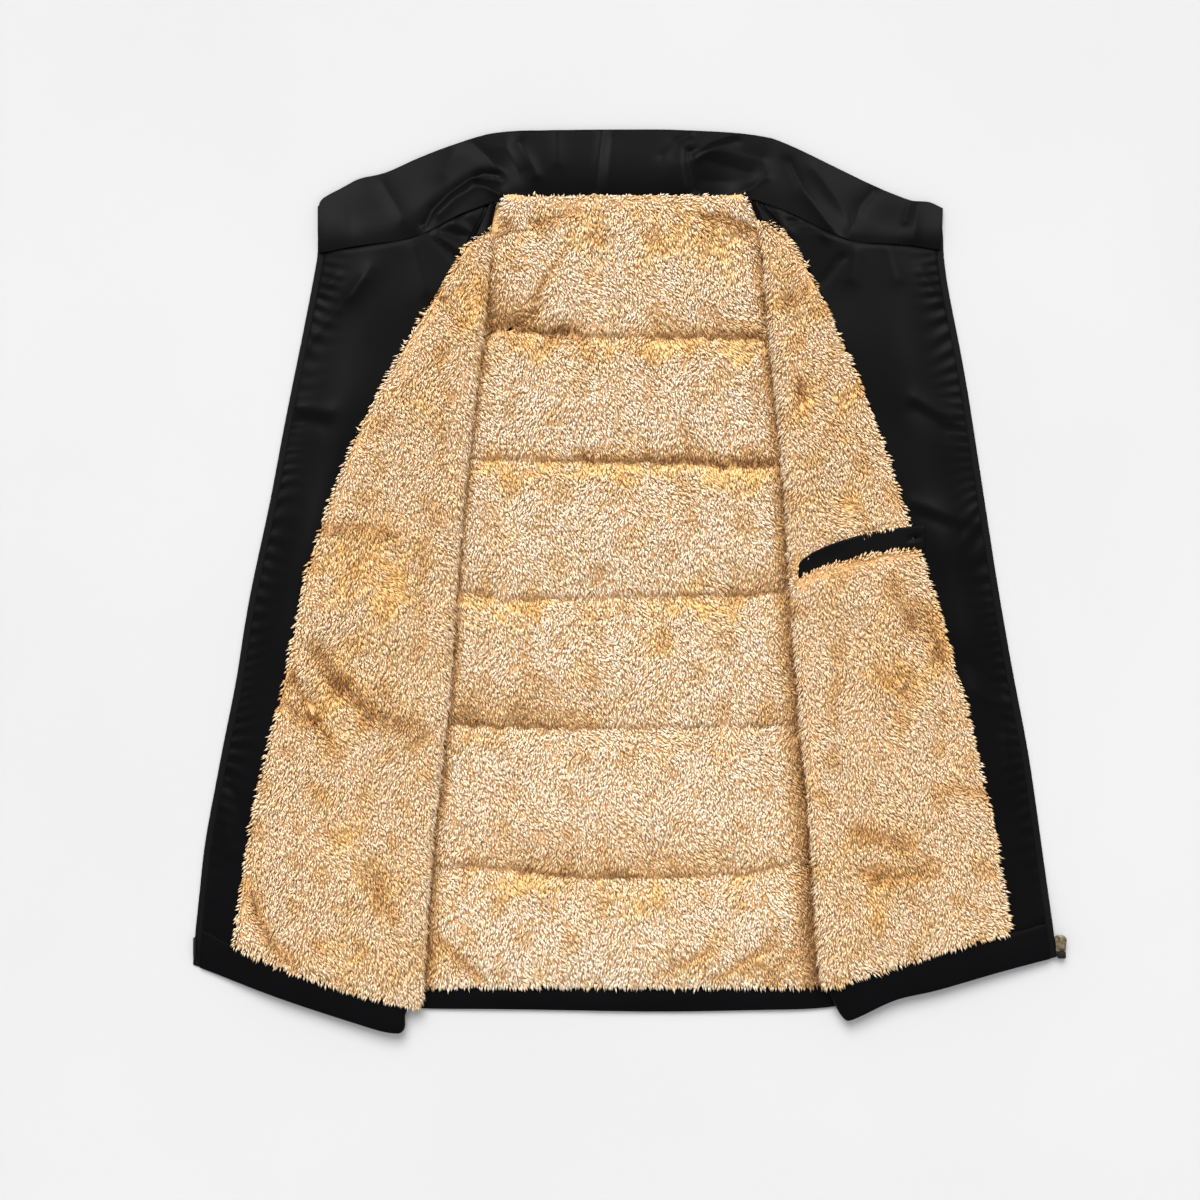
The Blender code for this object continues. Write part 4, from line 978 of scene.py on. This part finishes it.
def turn_beside(points, way, shade, around, on_back):
    """Turns the pile's ways beside other pieces, and shades it beside the fronts' folds, both in place.

    Returns each tuft's share of the full length, and how far it stands up over the welt, 0 to 1.
    """
    shorter, upright = np.ones(len(points)), np.zeros(len(points))
    for k, point in enumerate(points.tolist()):
        near, _, _, away = around["black"].find_nearest(point, EDGE_REACH)
        if near is not None:
            way[k] += EDGE_PULL * (1 - away / EDGE_REACH) * np.array(near - Vector(point)) / max(away, 1e-6)
            shorter[k] = EDGE_LENGTH + (1 - EDGE_LENGTH) * away / EDGE_REACH
        near, _, _, away = around["welt"].find_nearest(point, EDGE_REACH)
        if near is not None:
            side, close = int(near.y <= point[1]), 1 - away / EDGE_REACH
            way[k, 1] += WELT_PULL[side] * close
            shorter[k] = WELT_LENGTH[side]
            upright[k] = 0 if side else close
        if on_back and point[1] > NECK_TOP:
            way[k, 0] += NECK_PULL * smooth((abs(point[0]) / MM - NECK_CORNER_MM) / NECK_TURN_MM) * np.sign(point[0])
        elif on_back:
            reach = HIDDEN_REACH_MM[point[0] > 0] * MM * (HIDDEN_AT_MIDDLE - point[1] / HIDDEN_FALL)
            near, _, _, away = around["fronts"].find_nearest(point, reach)
            if near is not None:
                shade[k] = max(shade[k], min(1, HIDDEN_SHADE * (1 - away / reach)))
    return shorter, upright


def grow_pile(lining, around, on_back, seed):
    """The tufts of one lining, as arrays: root, middle, tip, the way across, width and looks.

    around holds trees of what lies near: the black cloth, the welt, the fronts, and all that covers this lining.
    """
    draw = np.random.default_rng(seed)
    points, normals = scattered(lining, TUFT_SPACING, seed)
    upper = normals[:, 2] > LOWEST_FACING
    points, normals = points[upper], normals[upper]
    upward = unit(normals * (0.1 if on_back else 1) + np.array([0, 0, 1.2]))  # the back is covered from above
    seen = ray_lengths(around["cover"], points + 0.2 * MM * normals, upward, COVER_REACH) >= COVER_REACH
    points, normals = points[seen], normals[seen]
    count = len(points)
    depth = sunk(lining.tree, points, normals)
    ground = points[:, :2] / MM
    normals = raised(points, normals, lining_rise(on_back))
    flat, shade = flatness_at(ground, on_back), shade_at(ground, on_back)

    curl = PILE_TURN + wave(points / MM, PILE_SWEEP)
    curl += (wave(points / MM, PILE_CURL) + draw.normal(0, CURL_SPREAD, count)) * (1 - FLAT_CURL * flat)
    way = np.stack([np.sin(curl), -np.cos(curl), np.zeros(count)], axis=1)
    shorter, upright = turn_beside(points, way, shade, around, on_back)
    way = unit(way - (way * normals).sum(axis=1)[:, None] * normals)

    lean = TUFT_LEAN + (FLAT_LEAN - TUFT_LEAN) * np.maximum(flat, SHADE_TILT * shade) + WELT_STEEPER * upright
    lean += (wave(points / MM, PILE_LEAN) + draw.normal(0, LEAN_SPREAD, count)) * (1 - FLAT_TILT * flat)
    longer = np.clip(1 + FLAT_LONGER * flat + LENGTH_SPREAD * draw.normal(size=count), *LENGTH_RANGE)
    length = shorter * TUFT_LENGTH * longer
    height = np.maximum(length * np.sin(np.clip(lean, *LEAN_RANGE)), LEAST_RISE * depth)
    run = np.sqrt(np.maximum(length**2 - height**2, (LEAST_RUN * length) ** 2))[:, None] * way
    rise = height[:, None] * normals
    root = points - depth[:, None] * normals
    tip, middle = root + rise + run, root + TUFT_BEND[0] * rise + TUFT_BEND[1] * run
    lift = WELT_LIFT * upright
    root[:, 2] = np.maximum(root[:, 2], LEAST_HEIGHT)
    middle[:, 2] = np.maximum(middle[:, 2] + TUFT_BEND[0] * lift, 1.5 * LEAST_HEIGHT)
    tip[:, 2] = np.maximum(tip[:, 2] + lift, LEAST_HEIGHT)
    wider = np.clip(1 + WIDTH_SPREAD * draw.normal(size=count), *WIDTH_RANGE) * (1 + FLAT_WIDER * flat)

    tones = (ROOT_TONE, TIP_TONE, CREAM_SHARE)
    first, last, cream = (tone.plain - tone.shaded * shade - tone.flat * flat for tone in tones)
    last -= TIP_TONE.spread * np.abs(draw.normal(size=count)) + UPRIGHT_TONES[0] * upright
    last -= TIP_CLOUDS.strength * np.clip(swell(ground, TIP_CLOUDS.size, TIP_CLOUDS.seed), 0, 2)
    cream += CREAM_SHARE.spread * draw.normal(size=count) - UPRIGHT_TONES[1] * upright
    return [root, middle, tip, np.cross(normals, way), TUFT_WIDTH * wider, np.stack([first, last, cream], axis=1)]


def plant(name, grown, keep):
    """One piece of pile, made of the grown tufts that it keeps."""
    root, middle, tip, across, width, looks = (part[keep] for part in grown)
    piece = copies(name, TUFT, root, middle, tip, across, width, TUFT_FLATNESS, PILE, looks)
    return piece


# ---- thread and zip ----
def spaced_along(line, pitch):
    """Points at an even pitch along a line of points."""
    steps = np.linalg.norm(np.diff(line, axis=0), axis=1)
    run = np.concatenate([[0], np.cumsum(steps)])
    at = np.arange(pitch / 2, run[-1], pitch)
    return np.stack([np.interp(at, run, line[:, k]) for k in range(3)], axis=1)


def top_of(tree, points, reach):
    """How far below ABOVE_ALL the tree's topmost surface lies at points on the ground."""
    return ray_lengths(tree, points * [1, 1, 0] + [0, 0, ABOVE_ALL], np.tile([0.0, 0, -1], (len(points), 1)), reach)


def stitch_row(name, line, tree):
    """A row of stitches pulled slightly into the cloth along a line."""
    spots = spaced_along(line, STITCH_PITCH)
    drop = top_of(tree, spots, 0.1)
    spots[:, 2] = np.where(drop < 0.099, ABOVE_ALL - drop + 0.1 * STITCH_WIDTH, spots[:, 2])
    ways = unit(np.gradient(spots, axis=0))
    half = STITCH_LENGTH / 2 * ways
    across = unit(np.cross(ways, [0.0, 0, 1]))
    width = np.full(len(spots), STITCH_WIDTH)
    middle = spots + [0, 0, STITCH_ARCH]
    return copies(name, STITCH, spots - half, middle, spots + half, across, width, STITCH_FLATNESS, THREAD)


def zip_coil(name, line, side):
    """The coil round a tape's outer edge: one short bent turn for each tooth."""
    spots = spaced_along(line, COIL_PITCH)
    ways = unit(np.gradient(spots, axis=0))
    outward = unit(np.cross(ways, [0.0, 0, 1]))
    outward *= np.sign(side * outward[:, :1])
    up = np.array([0, 0, COIL_HALF])
    inner = spots - COIL_IN * outward
    back = inner - up + COIL_SLANT * ways
    width = np.full(len(spots), COIL_WIDTH)
    return copies(name, COIL_TURN, inner + up, spots + COIL_OUT * outward, back, ways, width, 1.0, NYLON)


# ---- the vest ----
def drape_welt(welt, lining):
    """Draws the welt's outer end on over the lining's slope to the facing."""
    points = read_points(welt.data)
    start = WELT_SLOPE_MM * MM
    outer = points[:, 0] > start
    was = points[outer]
    now = was.copy()
    now[:, 0] += WELT_STRETCH * (was[:, 0] - start)
    before, after = (top_of(lining, spots, ABOVE_ALL - 4 * MM) for spots in (was, now))
    loose = WELT_LOOSE_MM * MM * smooth((now[:, 0] / MM - WELT_SLOPE_MM) / WELT_LOOSE_OVER_MM)
    now[:, 2] += loose - after + before
    points[outer] = now
    write_points(welt.data, points)


def trim_tape(tape, side, top):
    """Moves a zip tape's hidden part under the facing, and cuts the tape off at its top."""
    points = nudged(read_points(tape.data), TAPE_NUDGES)
    rim = edge_line(surface_of(tape), side)
    hidden = side * (np.interp(points[:, 1], rim[:, 1], rim[:, 0]) - points[:, 0]) > TAPE_KEPT
    points[hidden, 0] -= side * TAPE_TUCK
    write_points(tape.data, points)
    right, up = TAPE_TOP_WAY
    cut(tape, (side * TAPE_TOP_X, top, 0), (side * right, up, 0))


CLOTH_PLANS = [  # node, levels, material, slot
    ("back_shell", 1, OUTER_CLOTH, "shell"),
    ("right_front_shell", 1, OUTER_CLOTH, "shell"),
    ("left_front_shell", 1, OUTER_CLOTH, "shell"),
    ("collar_shell", 1, OUTER_CLOTH, "shell"),
    ("collar_facing", 3, POLYESTER, "facing"),
    ("right_facing", 3, POLYESTER, "facing"),
    ("left_facing", 3, POLYESTER, "facing"),
    ("right_hem_band", 2, POLYESTER, "facing"),
    ("left_hem_band", 2, POLYESTER, "facing"),
    ("back_hem_band", 2, POLYESTER, "facing"),
    ("pocket_welt", 2, POLYESTER, "facing"),
    ("right_zip_tape", 2, TAPE_CLOTH, "tape"),
    ("left_zip_tape", 2, TAPE_CLOTH, "tape"),
]


def make_cloth(solids):
    """Every sheet of black cloth, by its node's name, and the outer edges of the two facings."""
    made = {}
    for node, levels, material, slot in CLOTH_PLANS:
        made[node] = cloth_from(node, "cloth_" + node, levels, material)
        points = read_points(made[node].data)
        if "collar" in node:
            outward = np.where(points[:, 0] < 0, -COLLAR_WIDER_MM[0], COLLAR_WIDER_MM[1]) * MM
            points[:, 0] += outward * smooth((np.abs(points[:, 0]) / MM - COLLAR_END_MM) / COLLAR_END_OVER_MM)
            points = nudged(points, COLLAR_NUDGES)
        elif node.startswith("back"):
            points = nudged(points, BACK_HEM_NUDGES)
        elif "welt" not in node:
            points = nudged(points, EDGE_NUDGES)
        write_points(made[node].data, points)
    edges = {side: edge_line(surface_of(made[f"{name}_facing"]), side) for side, name in SIDES}
    raise_top(made["collar_facing"], cloth_rise(COLLAR_CREASES, []))
    for side, name in SIDES:
        raise_top(made[f"{name}_facing"], cloth_rise(FACING_CREASES, [edges[side]]))
    for node in ("right_hem_band", "left_hem_band", "back_hem_band"):
        raise_top(made[node], cloth_rise([], []))
    for side, name in SIDES:
        trim_tape(made[f"{name}_zip_tape"], side, TAPE_TOP_Y[name])
        tuck_under(made[f"{name}_facing"], made["collar_facing"])
        tuck_under(made[f"{name}_facing"], made[f"{name}_hem_band"])
        extra = cloth_from(f"{name}_front_lining", f"cloth_{name}_facing_end", 2, POLYESTER)
        (x, y), (right, up) = FUR_ENDS[name]
        cut(extra, (x * MM, (y - 1) * MM, 0), (-right, -up, 0))  # 1 mm of it lies under the pile
        raise_top(extra, cloth_rise(FACING_CREASES, []))
        made[f"{name}_facing_end"] = extra
    drape_welt(made["pocket_welt"], tree_of([solids["left_front_lining"], solids["left_facing"]]))
    return made, edges


def roll_neck(points):
    """Rolls the back lining's top edge over the collar's seam, in place, with a bulge beside each front's end."""
    beside, up = np.abs(points[:, 0]) / MM, points[:, 1] / MM
    top = smooth((up - NECK_FROM_MM) / NECK_OVER_MM)
    corner = smooth((beside - 75) / 30)
    points[:, 1] += (NECK_UP_MM + NECK_CORNER_UP_MM * corner) * MM * top
    inside = np.where(points[:, 0] < 0, *FRONT_ENDS_MM) - beside
    near_end = smooth((30 - inside) / 20) * smooth(inside / 6)  # from 30 mm beside a front's end up to that end
    points[:, 2] += CORNER_RISE_MM * MM * near_end * smooth((up - CORNER_FROM_MM) / 8)
    points[:, 2] += TOP_RISE_MM * MM * top * smooth((beside - 40) / 50)


def sink_ground(ground, lining, rise):
    """Puts the knit ground inside the lining's form, and gives it the same seams, folds and lumps."""
    depth = sunk(lining.tree, lining.points, lining.normals)[:, None]
    points = lining.points - depth * lining.normals
    points[:, 2] += upper_share(lining.normals) * rise(lining.points[:, :2] / MM) * MM
    points[:, 2] = np.maximum(points[:, 2], lining.points[:, 2].min())
    write_points(ground.data, points)


LINING_PLANS = [("back_lining", 2, 3), ("right_front_lining", 1, 1), ("left_front_lining", 1, 1)]


def make_pile(solids, welt_cloth):
    """The linings: a knit ground each, and the tufts on it in one or more pieces, from the hem up."""
    solids["pocket_welt"] = surface_of(welt_cloth)
    around = {
        "black": tree_of([solids[n] for n in solids if "facing" in n or "band" in n]),
        "welt": solids["pocket_welt"].tree,
        "fronts": tree_of([solids["right_front_lining"], solids["left_front_lining"]]),
    }
    for seed, (node, levels, pieces) in enumerate(LINING_PLANS, 11):
        on_back = node == "back_lining"
        ground = cloth_from(node, "ground_" + node, levels, GROUND)
        if on_back:
            points = read_points(ground.data)
            roll_neck(points)
            write_points(ground.data, points)
        else:
            (x, y), (right, up) = FUR_ENDS[node.split("_")[0]]
            cut(ground, (x * MM, y * MM, 0), (right, up, 0))
        lining = surface_of(ground)
        sink_ground(ground, lining, lining_rise(on_back))
        over = [n for n in solids if n != node and not (on_back and "collar" in n)]
        around["cover"] = tree_of([solids[n] for n in over])
        grown = grow_pile(lining, around, on_back, seed)
        place = grown[0][:, 1].argsort().argsort()
        part = (place * pieces) // len(place)
        for k in range(pieces):
            plant(f"pile_{node}_{k + 1}", grown, part == k)


def make_thread_and_zip(cloths, edges):
    """The topstitch beside the zip, up to the collar's top, and the zip's coil."""
    tree = tree_of([surface_of(cloths[n]) for n in ("right_facing", "left_facing", "collar_facing")])
    collar = surface_of(cloths["collar_facing"])
    low, high = COLLAR_STITCH_Y
    for side, name in SIDES:
        edge, end = edges[side], edge_line(collar, side)
        end = end[(side * end[:, 0] > COLLAR_STITCH_X) & (end[:, 1] > low) & (end[:, 1] < high)]
        line = np.concatenate([edge[edge[:, 1] < FACING_STITCH_TOP], end]) - [side * STITCH_INSET, 0, 0]
        stitch_row(f"topstitch_{name}", line, tree)
        rim = edge_line(surface_of(cloths[f"{name}_zip_tape"]), side)
        zip_coil(f"zip_coil_{name}", rim[rim[:, 1] < COIL_TOP_Y], side)


def finish_hardware():
    """The slider, its tab, the box and the pin in their CAD form, with softened edges and a worn finish."""
    plans = [  # node, body, material, slot, rounding
        ("zip_slider", "vest", METAL, "metal", 0.4 * MM),
        ("pull_tab", "tab", METAL, "metal", 0.3 * MM),
        ("zip_box", "vest", PLASTIC, "plastic", 0.3 * MM),
        ("zip_pin", "vest", PLASTIC, "plastic", 0.3 * MM),
    ]
    for node, body, material, slot, width in plans:
        piece = bpy.data.objects.new("finished_" + node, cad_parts[node].data.copy())
        bpy.context.scene.collection.objects.link(piece)
        select_only(piece)
        bpy.ops.mesh.customdata_custom_splitnormals_clear()
        bpy.ops.object.mode_set(mode="EDIT")
        bpy.ops.mesh.select_all(action="SELECT")
        bpy.ops.mesh.remove_doubles(threshold=WELD)
        bpy.ops.mesh.dissolve_limited(angle_limit=math.radians(2))
        bpy.ops.object.mode_set(mode="OBJECT")
        rounding = piece.modifiers.new("rounded edges", "BEVEL")
        rounding.width = width
        rounding.segments = 3
        rounding.limit_method = "ANGLE"
        rounding.angle_limit = math.radians(35)
        bpy.ops.object.modifier_apply(modifier=rounding.name)
        bpy.ops.object.shade_smooth_by_angle(angle=math.radians(40))
        piece.data.materials.clear()
        piece.data.materials.append(material)
        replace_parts(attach(piece, body), node)


SheetPlan = namedtuple("SheetPlan", "name wide long area held on")


def make_stage():
    """A pale floor, light from the picture's top and from all round, and the camera straight above."""
    bpy.ops.mesh.primitive_plane_add(size=FLOOR_SIZE, location=(0, 0, -FLOOR_DROP))
    floor = bpy.context.object
    floor.name = "floor"
    material, tree, shader, place = new_material("pale floor")
    dark, light = ((tone,) * 3 for tone in FLOOR_TONES)
    paper = mottle(tree, place, 3.0, dark, light)
    tree.links.new(paper.outputs["Color"], shader.inputs["Base Color"])
    shader.inputs["Roughness"].default_value = 0.9
    shader.inputs["Specular IOR Level"].default_value = 0.1
    floor.data.materials.append(material)

    world = bpy.data.worlds.new("studio")
    world.use_nodes = True
    sky = world.node_tree.nodes["Background"]
    sky.inputs["Color"].default_value = (1.0, 1.0, 1.0, 1)
    sky.inputs["Strength"].default_value = SKY_STRENGTH
    bpy.context.scene.world = world
    for sun in SUNS:
        lamp = bpy.data.lights.new(sun.name, "SUN")
        lamp.energy = sun.strength
        lamp.angle = math.radians(sun.spread)
        holder = bpy.data.objects.new(sun.name, lamp)
        holder.rotation_euler = Vector(sun.towards).to_track_quat("-Z", "Y").to_euler()
        holder.visible_glossy = False
        bpy.context.scene.collection.objects.link(holder)
    for panel in PANELS:
        lamp = bpy.data.lights.new(panel.name, "AREA")
        lamp.shape = "RECTANGLE"
        (lamp.size, lamp.size_y), lamp.energy = PANEL_SIZE, panel.power
        holder = bpy.data.objects.new(panel.name, lamp)
        holder.location = (panel.x, PANEL_Y, PANEL_Z)
        holder.rotation_euler = Vector((-0.8 * panel.x, -0.9, -PANEL_Z)).to_track_quat("-Z", "Y").to_euler()
        holder.visible_diffuse = False
        bpy.context.scene.collection.objects.link(holder)

    camera = bpy.data.objects.new("camera", bpy.data.cameras.new("camera"))
    camera.location = VIEW_CENTRE + Vector((0, 0, VIEW_HEIGHT))
    camera.data.angle = 2 * math.atan(VIEW_WIDTH / 2 / VIEW_HEIGHT)
    camera.data.clip_start = 0.01
    bpy.context.scene.collection.objects.link(camera)
    bpy.context.scene.camera = camera
    bpy.context.scene.view_settings.view_transform = "Standard"


def main():
    solids = {name: solid_of(name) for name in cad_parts}
    cloths, edges = make_cloth(solids)
    make_pile(solids, cloths["pocket_welt"])
    make_thread_and_zip(cloths, edges)
    finish_hardware()
    make_stage()


main()
